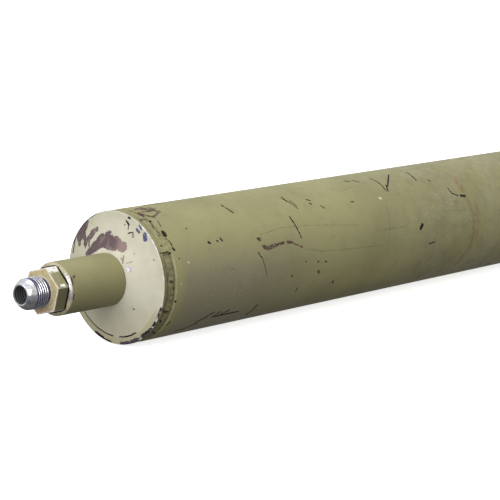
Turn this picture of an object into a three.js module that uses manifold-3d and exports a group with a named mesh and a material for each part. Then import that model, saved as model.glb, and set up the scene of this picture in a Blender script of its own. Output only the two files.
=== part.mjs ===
// A double-acting hydraulic cylinder with a welded base cap.
//
// Everything is in millimetres. Inside the group the cylinder's axis is +X, x = 0 is the flat
// outer face of the base cap and the rod leaves at the far end. The exported group moves that
// axis up and back, so that the origin is on the ground under the middle of the whole object.
// The rod is drawn fully retracted. Pieces that touch on the real cylinder keep a gap of GAP.
// Every round piece has a flat side underneath, so the barrel lies on one.

import * as THREE from "three";
import { mergeVertices } from "three/addons/utils/BufferGeometryUtils.js";
import Module from "manifold-3d";

const wasm = await Module();
wasm.setup();

// ---------------------------------------------------------------- driving dimensions

const GAP = 0.3;
const ROUND_LARGE = 28; // sides of a round piece as wide as the barrel
const ROUND_SMALL = 20; // sides of a round piece as wide as the rod
const ROUND_TINY = 12; // sides of a screw or a drilled hole

const TUBE_RADIUS = 44.45; // 3.5 in outside
const BORE_RADIUS = 38.1; // 3 in bore
const ROD_RADIUS = 19.05; // 1.5 in rod
const STROKE = 508; // 20 in
const STUB_RADIUS = 17.45;
const STUB_LENGTH = 56; // from the cap's face to the port's face

const CAP_THICK = 25;
const CAP_CROWN = 7.4; // how far the cap's coned middle stands out of its flat ring
const CAP_RING = 40.2; // inner radius of the flat ring
const CAP_STEP = 0.6; // between the ring and the cone
const CAP_RIM = 3.4; // full-width rim in front of the weld groove
const CAP_LAND = 7.1; // where the weld groove reaches the cap's spigot
const TUBE_START = 7.4;
const TUBE_BEVEL_END = 11;

const NUT_START = 33; // retracted, the rod's end clears the port stub by 2 mm
const NUT_LENGTH = 20;
const PISTON_START = NUT_START + NUT_LENGTH + GAP;
const PISTON_LENGTH = 48;
const PISTON_RADIUS = 37.7;
const SEAL_RADIUS = 37.9; // piston seal and wear rings, against the bore
const ROD_SHOULDER = PISTON_START + PISTON_LENGTH + GAP;
const SPIGOT_RADIUS = 12.4; // rod's spigot through the piston

const GLAND_START = ROD_SHOULDER + STROKE + 2.4; // the piston stops just short of the gland
const GLAND_NOSE = 20; // narrow inner end, under the head port
const GLAND_INSIDE = 50; // from the gland's inner end to the tube's end
const GLAND_FLANGE = 14;
const TUBE_END = GLAND_START + GLAND_INSIDE;
const HEAD_END = TUBE_END + GAP + GLAND_FLANGE;
const LOCK_SCREW_X = TUBE_END - 8;
const LOCK_SCREW_RADIUS = 3;

const ROD_EXPOSED = 24; // rod showing between the gland and the eye, retracted
const ROD_END = HEAD_END + ROD_EXPOSED;
const ROD_THREAD_RADIUS = 15.7;
const ROD_THREAD_LENGTH = 48;

const EYE_CENTRE = ROD_END + 92;
const EYE_RADIUS = 43.5;
const EYE_HALF_WIDTH = 14.5;
const SHANK_RADIUS = 27;
const RACE_RADIUS = 30.5;
const RACE_HALF_WIDTH = 11;
const BALL_RADIUS = 25.5;
const BALL_HALF_WIDTH = 17.5;
const PIN_BORE_RADIUS = 15.9; // 1.25 in pin

const HEX_ACROSS_FLATS = 28.2;
const NOSE_REACH = 27.1; // adapter's nose, from the port's face
const ADAPTER_BORE = 5.6;
const PORT_THREAD_RADIUS = 11;
const BASE_HEX_TURN = 46; // degrees from +Y, towards +Z, to a corner of the base adapter's hexagon

const BOSS_RADIUS = 17.5;
const BOSS_TOP = TUBE_RADIUS + 17.5;
const HEAD_PORT = GLAND_START + GLAND_NOSE / 2; // over the gland's nose, clear of the piston

// ---------------------------------------------------------------- geometry helpers

const rad = THREE.MathUtils.degToRad;

// A round piece about +X. The profile is a closed outline of [x, radius] points.
function turned(profile, sides) {
  let area = 0;
  profile.forEach(([x, r], i) => {
    const [nextX, nextR] = profile[(i + 1) % profile.length];
    area += x * nextR - nextX * r;
  });
  const outline = area > 0 ? [...profile].reverse() : [...profile];
  outline.push(outline[0]);
  const points = outline.map(([x, r]) => new THREE.Vector2(r, x));
  return new THREE.LatheGeometry(points, sides).rotateZ(-Math.PI / 2).rotateX(Math.PI / sides);
}

// A plain cylinder along +X, from one x to another.
function bar(from, to, radius, sides) {
  return new THREE.CylinderGeometry(radius, radius, to - from, sides)
    .rotateZ(-Math.PI / 2)
    .rotateX(Math.PI / sides)
    .translate((from + to) / 2, 0, 0);
}

function block(low, high) {
  const size = high.map((v, i) => v - low[i]);
  const middle = high.map((v, i) => (v + low[i]) / 2);
  return new THREE.BoxGeometry(...size).translate(...middle);
}

// Turns a piece made along +X to lie along +Y, or to stand along +Z.
const alongY = (geometry) => geometry.rotateZ(Math.PI / 2);
const alongZ = (geometry) => geometry.rotateY(-Math.PI / 2);

// A six-sided bar along +X. One corner is `turn` degrees from +Y, towards +Z.
function hexBar(from, to, acrossFlats, turn) {
  const corner = acrossFlats / Math.sqrt(3);
  const start = new THREE.CylinderGeometry(corner, corner, to - from, 6);
  return start
    .rotateZ(-Math.PI / 2)
    .rotateX(rad(turn - 90))
    .translate((from + to) / 2, 0, 0);
}

function solid(geometry) {
  const bare = geometry.clone();
  bare.deleteAttribute("normal");
  bare.deleteAttribute("uv");
  const merged = mergeVertices(bare, 1e-4);
  return new wasm.Manifold(
    new wasm.Mesh({
      numProp: 3,
      vertProperties: new Float32Array(merged.attributes.position.array),
      triVerts: new Uint32Array(merged.index.array),
    }),
  );
}

function surface(manifold) {
  const mesh = manifold.getMesh();
  const geometry = new THREE.BufferGeometry();
  geometry.setAttribute("position", new THREE.BufferAttribute(mesh.vertProperties, 3));
  geometry.setIndex(new THREE.BufferAttribute(mesh.triVerts, 1));
  return geometry;
}

const join = (...pieces) => surface(pieces.map(solid).reduce((a, b) => a.add(b)));
const cut = (body, ...tools) => surface(tools.reduce((a, b) => a.subtract(solid(b)), solid(body)));
const common = (a, b) => surface(solid(a).intersect(solid(b)));

// ---------------------------------------------------------------- materials

const paint = (color, roughness) => new THREE.MeshStandardMaterial({ color, roughness, metalness: 0 });
const metal = (color, roughness) => new THREE.MeshStandardMaterial({ color, roughness, metalness: 1 });

const OLIVE = paint(0x8b8761, 0.45);
const CREAM = paint(0xc6c3ae, 0.55);
const ZINC = metal(0xd2d4da, 0.25);
const CHROME = metal(0xdfe1e3, 0.08);
const STEEL = metal(0xa3a39f, 0.4);
const IRON = metal(0x6f6f6c, 0.55);
const BLACK_STEEL = metal(0x2b2b2c, 0.5);
const BRASS = metal(0xb89a54, 0.35);
const NITRILE = paint(0x191919, 0.7);
const URETHANE = paint(0x2f5f8a, 0.5);
const FILLED_NYLON = paint(0x9a5a34, 0.6);
const WHITE_PTFE = paint(0xd9d6cc, 0.5);

const cylinder = new THREE.Group();

function add(name, geometry, material, x = 0, y = 0, z = 0) {
  const mesh = new THREE.Mesh(geometry, material);
  mesh.name = name;
  mesh.position.set(x, y, z);
  cylinder.add(mesh);
  return mesh;
}

// ---------------------------------------------------------------- barrel

function barrelTube() {
  const edge = 0.6;
  const wall = turned(
    [
      [TUBE_START, BORE_RADIUS],
      [TUBE_BEVEL_END, TUBE_RADIUS],
      [TUBE_END - edge, TUBE_RADIUS],
      [TUBE_END, TUBE_RADIUS - edge],
      [TUBE_END, BORE_RADIUS],
    ],
    ROUND_LARGE,
  );
  const portHole = alongZ(bar(30, 60, 6, ROUND_TINY)).translate(HEAD_PORT, 0, 0);
  const screwHole = alongY(bar(30, 60, LOCK_SCREW_RADIUS + GAP, ROUND_TINY)).translate(LOCK_SCREW_X, 0, 0);
  return cut(wall, portHole, screwHole);
}

function baseCap() {
  const edge = 0.55;
  return turned(
    [
      [-CAP_CROWN, STUB_RADIUS + GAP],
      [-CAP_CROWN, STUB_RADIUS + GAP + 0.6],
      [-CAP_STEP, CAP_RING - CAP_STEP],
      [0, CAP_RING],
      [0, TUBE_RADIUS - edge],
      [edge, TUBE_RADIUS],
      [CAP_RIM, TUBE_RADIUS],
      [CAP_LAND, BORE_RADIUS + 0.2],
      [CAP_LAND, BORE_RADIUS - GAP],
      [CAP_THICK - 2, BORE_RADIUS - GAP],
      [CAP_THICK, BORE_RADIUS - 2.3],
      [CAP_THICK, STUB_RADIUS + GAP],
    ],
    ROUND_LARGE,
  );
}

// The weld fills the groove between the cap's bevel and the tube's, flush with the tube.
function baseWeldBead() {
  const root = BORE_RADIUS + 1.1;
  const groove = TUBE_RADIUS - BORE_RADIUS;
  const capSide = (r) => CAP_RIM + ((TUBE_RADIUS - r) / groove) * (CAP_LAND - CAP_RIM) + 1.2 * GAP;
  const tubeSide = (r) => TUBE_START + ((r - BORE_RADIUS) / groove) * (TUBE_BEVEL_END - TUBE_START) - 1.2 * GAP;
  const shoulder = TUBE_RADIUS - 0.5;
  return turned(
    [
      [capSide(root), root],
      [capSide(shoulder), shoulder],
      [5.6, TUBE_RADIUS - 0.1],
      [9, TUBE_RADIUS - 0.1],
      [tubeSide(shoulder), shoulder],
      [tubeSide(root), root],
    ],
    ROUND_LARGE,
  );
}

const STUB_END = CAP_THICK + 4;

function portStub() {
  const chamfer = 1.6;
  const threadDepth = 16;
  return turned(
    [
      [-STUB_LENGTH, 13.4],
      [-STUB_LENGTH, STUB_RADIUS - chamfer],
      [-STUB_LENGTH + chamfer, STUB_RADIUS],
      [STUB_END, STUB_RADIUS],
      [STUB_END, 5],
      [-STUB_LENGTH + threadDepth + 3, 5],
      [-STUB_LENGTH + threadDepth, PORT_THREAD_RADIUS + GAP],
      [-STUB_LENGTH + 2.6, PORT_THREAD_RADIUS + GAP],
    ],
    ROUND_SMALL,
  );
}

function stubWeldBead() {
  const inner = STUB_RADIUS + GAP;
  return turned(
    [
      [CAP_THICK + GAP, inner],
      [CAP_THICK + GAP, inner + 3.8],
      [STUB_END - 0.4, inner],
    ],
    ROUND_SMALL,
  );
}

// A straight adapter from a screwed port to a 37-degree flared hose end. x = 0 is the port's face.
function portAdapter(hexTurn) {
  const hexStart = 0.3;
  const hexEnd = 9.3;
  const threadRadius = 10.4;
  const land = 10.1;
  const noseRadius = 6.9;
  const flare = (land - noseRadius) / Math.tan(rad(37));
  const core = turned(
    [
      [-13, ADAPTER_BORE],
      [-13, PORT_THREAD_RADIUS - 0.8],
      [-12.2, PORT_THREAD_RADIUS],
      [-3.6, PORT_THREAD_RADIUS],
      [-3.4, 9.9],
      [hexStart, 9.9],
      [hexStart, 13.8],
      [hexStart + 0.6, 13.8],
      [hexEnd - 0.1, 13.8],
      [hexEnd - 0.1, 9.3],
      [11.3, 9.3],
      [12.1, threadRadius],
      [NOSE_REACH - flare - 2, threadRadius],
      [NOSE_REACH - flare - 1.4, land],
      [NOSE_REACH - flare, land],
      [NOSE_REACH, noseRadius],
      [NOSE_REACH, ADAPTER_BORE],
    ],
    ROUND_SMALL,
  );
  const hexagon = cut(hexBar(hexStart + 0.3, hexEnd, HEX_ACROSS_FLATS, hexTurn), bar(-20, 20, 12, ROUND_SMALL));
  // Two narrow cones take the sharp corners off the hexagon.
  const corner = HEX_ACROSS_FLATS / Math.sqrt(3);
  const cones = turned(
    [
      [hexStart, 0],
      [hexStart, corner - 0.5],
      [hexStart + 0.3, corner + 0.3],
      [hexEnd - 0.3, corner + 0.3],
      [hexEnd, corner - 0.5],
      [hexEnd, 0],
    ],
    ROUND_LARGE,
  );
  return join(core, common(hexagon, cones));
}

function ring(from, to, inner, outer, sides) {
  return turned(
    [
      [from, inner],
      [from, outer],
      [to, outer],
      [to, inner],
    ],
    sides,
  );
}

// An O-ring about +X, centred at x = 0.
function oRing(middleRadius, thick, sides) {
  const corners = 6;
  const profile = Array.from({ length: corners }, (_, i) => {
    const angle = ((i + 0.5) / corners) * 2 * Math.PI;
    return [thick * Math.cos(angle), middleRadius + thick * Math.sin(angle)];
  });
  return turned(profile, sides);
}

add("barrel_tube", barrelTube(), OLIVE);
add("base_cap", baseCap(), CREAM);
add("base_weld_bead", baseWeldBead(), OLIVE);
add("port_stub", portStub(), OLIVE);
add("stub_weld_bead", stubWeldBead(), STEEL);
const baseAdapter = add("base_port_adapter", portAdapter(-BASE_HEX_TURN), ZINC, -STUB_LENGTH);
baseAdapter.rotation.y = Math.PI;
add("base_port_o_ring", oRing(11.4, 0.85, ROUND_SMALL), NITRILE, -STUB_LENGTH + 1.1);

// ---------------------------------------------------------------- head port

function headPortBoss() {
  const column = turned(
    [
      [TUBE_RADIUS - 6, 6],
      [TUBE_RADIUS - 6, BOSS_RADIUS],
      [BOSS_TOP - 1.2, BOSS_RADIUS],
      [BOSS_TOP, BOSS_RADIUS - 1.2],
      [BOSS_TOP, 13.4],
      [BOSS_TOP - 2.6, PORT_THREAD_RADIUS + GAP],
      [BOSS_TOP - 15, PORT_THREAD_RADIUS + GAP],
      [BOSS_TOP - 15, 6],
    ],
    ROUND_SMALL,
  );
  return cut(alongZ(column), bar(-40, 40, TUBE_RADIUS + GAP, ROUND_LARGE));
}

// A fillet weld around the boss, cut to sit on the round tube.
function headPortWeld() {
  const leg = 5;
  const skirt = turned(
    [
      [TUBE_RADIUS - 8, BOSS_RADIUS + GAP],
      [TUBE_RADIUS - 8, BOSS_RADIUS + leg],
      [TUBE_RADIUS - 1.5, BOSS_RADIUS + leg],
      [TUBE_RADIUS + leg, BOSS_RADIUS + GAP],
    ],
    ROUND_SMALL,
  );
  return cut(alongZ(skirt), bar(-40, 40, TUBE_RADIUS + GAP, ROUND_LARGE));
}

add("head_port_boss", headPortBoss(), OLIVE, HEAD_PORT);
add("head_port_weld_bead", headPortWeld(), OLIVE, HEAD_PORT);
const headAdapter = add("head_port_adapter", portAdapter(0), ZINC, HEAD_PORT, 0, BOSS_TOP);
headAdapter.rotation.y = -Math.PI / 2;
const headORing = add("head_port_o_ring", oRing(11.4, 0.85, ROUND_SMALL), NITRILE, HEAD_PORT, 0, BOSS_TOP - 1.1);
headORing.rotation.y = -Math.PI / 2;

// ---------------------------------------------------------------- gland and its seals

// Positions from the gland's inner end.
const GUIDE_GROOVE = [4, 16];
const BUFFER_GROOVE = [21, 27];
const SEAL_GROOVE = [32, 41];
const GLAND_SEAL_GROOVE = [27, 34];
const GUIDE_DEPTH = 22;
const SEAL_DEPTH = 25;
const GLAND_RADIUS = BORE_RADIUS - GAP;

function gland() {
  const inner = ROD_RADIUS + GAP;
  const end = GLAND_INSIDE + GAP + GLAND_FLANGE;
  const body = turned(
    [
      [0, inner],
      [0, 29],
      [2, 31],
      [GLAND_NOSE, 31],
      [GLAND_NOSE + 2, GLAND_RADIUS],
      [GLAND_SEAL_GROOVE[0], GLAND_RADIUS],
      [GLAND_SEAL_GROOVE[0], 34],
      [GLAND_SEAL_GROOVE[1], 34],
      [GLAND_SEAL_GROOVE[1], GLAND_RADIUS],
      [GLAND_INSIDE + GAP, GLAND_RADIUS],
      [GLAND_INSIDE + GAP, TUBE_RADIUS - 0.6],
      [GLAND_INSIDE + GAP + 0.6, TUBE_RADIUS],
      [end - 1.5, TUBE_RADIUS],
      [end, TUBE_RADIUS - 1.5],
      [end, 26.5],
      [end - 7, 24.5],
      [end - 7, inner],
      [SEAL_GROOVE[1], inner],
      [SEAL_GROOVE[1], SEAL_DEPTH],
      [SEAL_GROOVE[0], SEAL_DEPTH],
      [SEAL_GROOVE[0], inner],
      [BUFFER_GROOVE[1], inner],
      [BUFFER_GROOVE[1], SEAL_DEPTH],
      [BUFFER_GROOVE[0], SEAL_DEPTH],
      [BUFFER_GROOVE[0], inner],
      [GUIDE_GROOVE[1], inner],
      [GUIDE_GROOVE[1], GUIDE_DEPTH],
      [GUIDE_GROOVE[0], GUIDE_DEPTH],
      [GUIDE_GROOVE[0], inner],
    ],
    ROUND_LARGE,
  );
  const spannerHoles = [45, 135, 225, 315].map((angle) =>
    bar(end - 8, end + 5, 4, ROUND_TINY).translate(0, 35 * Math.cos(rad(angle)), 35 * Math.sin(rad(angle))),
  );
  const screwSeat = alongY(bar(35, 60, LOCK_SCREW_RADIUS + GAP, ROUND_TINY)).translate(
    LOCK_SCREW_X - GLAND_START,
    0,
    0,
  );
  return cut(body, ...spannerHoles, screwSeat);
}

// A lip seal opening towards the oil, between the rod and the bottom of its groove.
function lipSeal(from, to) {
  const inner = ROD_RADIUS + GAP;
  const outer = SEAL_DEPTH - GAP;
  const middle = (inner + outer) / 2;
  return turned(
    [
      [from, inner],
      [from, inner + 1.2],
      [from + 3, middle],
      [from, outer - 1.2],
      [from, outer],
      [to, outer - 0.4],
      [to, inner + 0.4],
    ],
    ROUND_SMALL,
  );
}

function rodWiper() {
  const end = GLAND_INSIDE + GAP + GLAND_FLANGE;
  return turned(
    [
      [end - 7 + GAP, ROD_RADIUS + 0.6],
      [end - 7 + GAP, 24.1],
      [end - 1.2, 25.6],
      [end + 1.2, 23],
      [end + 1.6, ROD_RADIUS + GAP],
      [end + 0.6, ROD_RADIUS + GAP],
    ],
    ROUND_SMALL,
  );
}

function lockScrew() {
  const length = 6;
  const body = bar(0, length, LOCK_SCREW_RADIUS, ROUND_TINY);
  return alongY(cut(body, hexBar(length - 3, length + 1, 3, 0)));
}

add("gland", gland(), IRON, GLAND_START);
add("gland_o_ring", oRing(36, 1.4, ROUND_LARGE), NITRILE, GLAND_START + 29);
add("gland_backup_ring", ring(31, 33.4, 34.4, 37.6, ROUND_LARGE), WHITE_PTFE, GLAND_START);
add(
  "gland_wear_ring",
  ring(GUIDE_GROOVE[0] + GAP, GUIDE_GROOVE[1] - GAP, ROD_RADIUS + GAP, GUIDE_DEPTH - GAP, ROUND_SMALL),
  FILLED_NYLON,
  GLAND_START,
);
add("rod_buffer_seal", lipSeal(BUFFER_GROOVE[0] + GAP, BUFFER_GROOVE[1] - GAP), WHITE_PTFE, GLAND_START);
add("rod_seal", lipSeal(SEAL_GROOVE[0] + GAP, SEAL_GROOVE[1] - GAP), URETHANE, GLAND_START);
add("rod_wiper", rodWiper(), URETHANE, GLAND_START);
add("gland_lock_screw", lockScrew(), BLACK_STEEL, LOCK_SCREW_X, TUBE_RADIUS - 8.6);

// ---------------------------------------------------------------- piston

// Grooves, from the piston's end nearest the base cap.
const WEAR_GROOVES = [
  [4, 14],
  [34, 44],
];
const PISTON_SEAL_GROOVE = [19, 29];
const WEAR_DEPTH = 34.8;
const PISTON_SEAL_DEPTH = 31.4;
const STATIC_GROOVE = [21.8, 26.2];

function piston() {
  const inner = SPIGOT_RADIUS + GAP;
  const outside = [];
  const grooves = [
    [...WEAR_GROOVES[0], WEAR_DEPTH],
    [...PISTON_SEAL_GROOVE, PISTON_SEAL_DEPTH],
    [...WEAR_GROOVES[1], WEAR_DEPTH],
  ];
  for (const [from, to, depth] of grooves) {
    outside.push([from, PISTON_RADIUS], [from, depth], [to, depth], [to, PISTON_RADIUS]);
  }
  return turned(
    [
      [0, inner],
      [0, PISTON_RADIUS - 1],
      [1, PISTON_RADIUS],
      ...outside,
      [PISTON_LENGTH - 1, PISTON_RADIUS],
      [PISTON_LENGTH, PISTON_RADIUS - 1],
      [PISTON_LENGTH, inner],
      [STATIC_GROOVE[1], inner],
      [STATIC_GROOVE[1], 15.4],
      [STATIC_GROOVE[0], 15.4],
      [STATIC_GROOVE[0], inner],
    ],
    ROUND_LARGE,
  );
}

function pistonNut() {
  const acrossFlats = 38.1;
  const corner = acrossFlats / Math.sqrt(3);
  const rounded = turned(
    [
      [0, 0],
      [0, acrossFlats / 2],
      [1.6, corner],
      [NUT_LENGTH - 1.6, corner],
      [NUT_LENGTH, acrossFlats / 2],
      [NUT_LENGTH, 0],
    ],
    ROUND_SMALL,
  );
  const body = common(hexBar(0, NUT_LENGTH, acrossFlats, 30), rounded);
  return cut(body, bar(-5, NUT_LENGTH + 5, SPIGOT_RADIUS + GAP, ROUND_SMALL));
}

function rod() {
  const threadStart = NUT_START - 2;
  const threadEnd = ROD_END + ROD_THREAD_LENGTH;
  return turned(
    [
      [threadStart, 0],
      [threadStart, SPIGOT_RADIUS - 1],
      [threadStart + 1, SPIGOT_RADIUS],
      [ROD_SHOULDER, SPIGOT_RADIUS],
      [ROD_SHOULDER, ROD_RADIUS],
      [ROD_END - 1, ROD_RADIUS],
      [ROD_END, ROD_RADIUS - 1],
      [ROD_END, ROD_THREAD_RADIUS],
      [threadEnd - 1.2, ROD_THREAD_RADIUS],
      [threadEnd, ROD_THREAD_RADIUS - 1.2],
      [threadEnd, 0],
    ],
    ROUND_SMALL,
  );
}

add("piston", piston(), IRON, PISTON_START);
add("piston_nut", pistonNut(), STEEL, NUT_START);
add("piston_o_ring", oRing(14, 1, ROUND_SMALL), NITRILE, PISTON_START + 24);
WEAR_GROOVES.forEach(([from, to], i) => {
  const band = ring(from + GAP, to - GAP, WEAR_DEPTH + GAP, SEAL_RADIUS, ROUND_LARGE);
  add(`piston_wear_ring_${"ab"[i]}`, band, FILLED_NYLON, PISTON_START);
});
const sealMiddle = PISTON_START + (PISTON_SEAL_GROOVE[0] + PISTON_SEAL_GROOVE[1]) / 2;
add("piston_seal_expander", oRing(33.1, 1.3, ROUND_LARGE), NITRILE, sealMiddle);
add("piston_seal", ring(-4.6, 4.6, 34.7, SEAL_RADIUS, ROUND_LARGE), WHITE_PTFE, sealMiddle);
add("rod", rod(), CHROME);

// ---------------------------------------------------------------- rod eye, x = 0 at the pin's axis

const SHANK_START = ROD_END + 2 - EYE_CENTRE;
const CLAMP_SCREWS = [-73, -51];
const CLAMP_HEIGHT = 29.5;
const CLAMP_EAR = 21; // half the width across both ears
const SCREW_RADIUS = 4.7;
const SCREW_HEAD_RADIUS = 8;
const SCREW_HEAD = 10;
const CIRCLIP_FROM = RACE_HALF_WIDTH + 0.15;
const CIRCLIP_THICK = 1.9;
const NIPPLE_STEM = 3;

function rodEye() {
  const hoop = alongY(
    turned(
      [
        [-EYE_HALF_WIDTH, 0],
        [-EYE_HALF_WIDTH, EYE_RADIUS - 2],
        [-EYE_HALF_WIDTH + 2, EYE_RADIUS],
        [EYE_HALF_WIDTH - 2, EYE_RADIUS],
        [EYE_HALF_WIDTH, EYE_RADIUS - 2],
        [EYE_HALF_WIDTH, 0],
      ],
      ROUND_LARGE,
    ),
  );
  const shank = bar(SHANK_START, -20, SHANK_RADIUS, ROUND_SMALL);
  const ears = block([-84, -CLAMP_EAR, 12], [-40, CLAMP_EAR, 40.5]);
  const bore = alongY(bar(-30, 30, RACE_RADIUS + GAP, ROUND_LARGE));
  const clipGrooves = [-1, 1].map((side) => {
    const groove = alongY(bar(-CIRCLIP_THICK / 2 - 0.1, CIRCLIP_THICK / 2 + 0.1, RACE_RADIUS + 2.6, ROUND_LARGE));
    return groove.translate(0, side * (CIRCLIP_FROM + CIRCLIP_THICK / 2), 0);
  });
  const threadBore = bar(SHANK_START - 5, SHANK_START + ROD_THREAD_LENGTH + 2, ROD_THREAD_RADIUS + GAP, ROUND_SMALL);
  const slit = block([SHANK_START - 5, -1.25, 0], [-36, 1.25, 60]);
  const screwHoles = CLAMP_SCREWS.flatMap((x) => {
    const through = alongY(bar(-40, 40, SCREW_RADIUS + GAP, ROUND_TINY)).translate(x, 0, CLAMP_HEIGHT);
    const seat = alongY(bar(-60, -CLAMP_EAR + SCREW_HEAD, SCREW_HEAD_RADIUS + GAP, ROUND_TINY));
    return [through, seat.translate(x, 0, CLAMP_HEIGHT)];
  });
  const greaseHole = alongZ(bar(EYE_RADIUS - 8, EYE_RADIUS + 5, NIPPLE_STEM + GAP, ROUND_TINY));
  const greaseWay = alongZ(bar(RACE_RADIUS - 5, EYE_RADIUS, 1.5, 8));
  return cut(
    join(hoop, shank, ears),
    bore,
    ...clipGrooves,
    threadBore,
    slit,
    ...screwHoles,
    greaseHole,
    greaseWay,
  );
}

// Points on a circle about the bearing's centre, between two half-widths.
function sphereArc(radius, from, to, steps) {
  return Array.from({ length: steps + 1 }, (_, i) => {
    const along = from + ((to - from) * i) / steps;
    return [along, Math.sqrt(radius * radius - along * along)];
  });
}

function eyeRace() {
  return alongY(
    turned(
      [
        [-RACE_HALF_WIDTH, RACE_RADIUS],
        [RACE_HALF_WIDTH, RACE_RADIUS],
        ...sphereArc(BALL_RADIUS + GAP, RACE_HALF_WIDTH, -RACE_HALF_WIDTH, 6),
      ],
      ROUND_LARGE,
    ),
  );
}

function eyeBall() {
  return alongY(
    turned(
      [
        [-BALL_HALF_WIDTH, PIN_BORE_RADIUS],
        ...sphereArc(BALL_RADIUS, -BALL_HALF_WIDTH, BALL_HALF_WIDTH, 8),
        [BALL_HALF_WIDTH, PIN_BORE_RADIUS],
      ],
      ROUND_LARGE,
    ),
  );
}

// An internal circlip: an open ring with a holed lug at each end.
function circlip() {
  const outer = RACE_RADIUS + 2.3;
  const inner = RACE_RADIUS - 1.4;
  const opening = rad(16);
  const lugSpread = rad(9);
  const lugReach = inner - 4.6;
  const from = -Math.PI / 2 + opening;
  const to = 1.5 * Math.PI - opening;
  const point = (radius, angle) => [radius * Math.cos(angle), radius * Math.sin(angle)];
  const shape = new THREE.Shape();
  shape.absarc(0, 0, outer, from, to, false);
  shape.lineTo(...point(lugReach, to));
  shape.lineTo(...point(lugReach, to - lugSpread));
  shape.lineTo(...point(inner, to - lugSpread));
  shape.absarc(0, 0, inner, to - lugSpread, from + lugSpread, true);
  shape.lineTo(...point(lugReach, from + lugSpread));
  shape.lineTo(...point(lugReach, from));
  for (const angle of [from + lugSpread / 2, to - lugSpread / 2]) {
    const hole = new THREE.Path();
    hole.absarc(...point(lugReach + 2.4, angle), 1.1, 0, 2 * Math.PI, true);
    shape.holes.push(hole);
  }
  return new THREE.ExtrudeGeometry(shape, { depth: CIRCLIP_THICK, bevelEnabled: false, curveSegments: 12 })
    .translate(0, 0, -CIRCLIP_THICK / 2)
    .rotateX(Math.PI / 2);
}

function clampScrew() {
  const head = -CLAMP_EAR + SCREW_HEAD - GAP;
  const length = 30;
  const body = turned(
    [
      [head - SCREW_HEAD, 0],
      [head - SCREW_HEAD, SCREW_HEAD_RADIUS - 0.8],
      [head - SCREW_HEAD + 0.8, SCREW_HEAD_RADIUS],
      [head, SCREW_HEAD_RADIUS],
      [head, SCREW_RADIUS],
      [head + length - 1, SCREW_RADIUS],
      [head + length, SCREW_RADIUS - 1],
      [head + length, 0],
    ],
    ROUND_TINY,
  );
  return alongY(cut(body, hexBar(head - SCREW_HEAD - 1, head - SCREW_HEAD + 5, 8, 0)));
}

function greaseNipple() {
  const stem = turned(
    [
      [-6, 0],
      [-6, NIPPLE_STEM],
      [4, NIPPLE_STEM],
      [5.2, 2.4],
      [6.4, 2.4],
      [7.2, 3.2],
      [8.6, 3.2],
      [10, 1.6],
      [10, 0],
    ],
    ROUND_TINY,
  );
  return alongZ(join(stem, hexBar(0.4, 4, 9, 0)));
}

const eye = new THREE.Group();
eye.position.x = EYE_CENTRE;
cylinder.add(eye);

function addToEye(name, geometry, material, x = 0, y = 0, z = 0) {
  eye.add(add(name, geometry, material, x, y, z));
}

addToEye("rod_eye", rodEye(), OLIVE);
addToEye("eye_race", eyeRace(), STEEL);
addToEye("eye_ball", eyeBall(), STEEL);
["left", "right"].forEach((side, i) => {
  const y = (2 * i - 1) * (CIRCLIP_FROM + CIRCLIP_THICK / 2);
  addToEye(`eye_circlip_${side}`, circlip(), BLACK_STEEL, 0, y);
});
CLAMP_SCREWS.forEach((x, i) => addToEye(`clamp_screw_${"ab"[i]}`, clampScrew(), BLACK_STEEL, x, 0, CLAMP_HEIGHT));
addToEye("grease_nipple", greaseNipple(), BRASS, 0, 0, EYE_RADIUS);

// ---------------------------------------------------------------- the whole, on the ground

const flatSide = Math.cos(Math.PI / ROUND_LARGE); // a flat side's distance, as a part of the radius
const LOW_X = -STUB_LENGTH - NOSE_REACH;
const HIGH_X = EYE_CENTRE + EYE_RADIUS * flatSide;
cylinder.position.set(-(LOW_X + HIGH_X) / 2, 0, TUBE_RADIUS * flatSide);

const part = new THREE.Group();
part.add(cylinder);

export default part;
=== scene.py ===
"""The looks of a welded hydraulic cylinder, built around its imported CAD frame.

Lengths are written in millimetres and turned into metres where a mesh or an object is made.
Most pieces are drawn in the cylinder's own frame: its axis is +X and x = 0 is the base cap's
flat outer face. Angles round the barrel start at the side (-Y) and grow towards the top (+Z).
"""

import math
from functools import reduce

import bmesh
import bpy
from mathutils import Matrix, Vector, noise


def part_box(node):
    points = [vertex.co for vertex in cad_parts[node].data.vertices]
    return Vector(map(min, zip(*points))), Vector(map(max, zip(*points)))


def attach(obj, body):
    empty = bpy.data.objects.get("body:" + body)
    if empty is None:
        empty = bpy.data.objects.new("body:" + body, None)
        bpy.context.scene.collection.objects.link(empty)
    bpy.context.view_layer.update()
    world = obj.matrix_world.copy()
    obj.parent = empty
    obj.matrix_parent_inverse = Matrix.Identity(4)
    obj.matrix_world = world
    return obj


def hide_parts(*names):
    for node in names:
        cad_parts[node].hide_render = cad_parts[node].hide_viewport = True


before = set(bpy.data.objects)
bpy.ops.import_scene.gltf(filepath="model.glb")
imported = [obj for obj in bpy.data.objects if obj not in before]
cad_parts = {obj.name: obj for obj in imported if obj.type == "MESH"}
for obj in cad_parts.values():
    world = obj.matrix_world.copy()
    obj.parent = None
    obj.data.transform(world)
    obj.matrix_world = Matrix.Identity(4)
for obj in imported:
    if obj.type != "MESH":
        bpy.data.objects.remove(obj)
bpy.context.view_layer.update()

MM = 0.001
cap_low, cap_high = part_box("base_cap")
CROWN = 7.4  # how far the base cap's coned middle stands out
AXIS_X = cap_low[0] / MM + CROWN  # the cap's flat outer ring, in the row's frame
AXIS_Z = (cap_low[2] + cap_high[2]) / 2 / MM  # height of the cylinder's axis
BARREL = 44.1  # radius of the painted barrel
TUBE_END = 662.0
HEAD_PORT = 622.0
BOSS_TOP = 61.95
ROD_END = 700.3
EYE_X = 792.3
STUB = 17.4
STUB_LENGTH = 56.0
NOSE_REACH = 27.1
BASE_CORNER = 14  # degrees above the side, to a corner of the base adapter's hexagon


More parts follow.
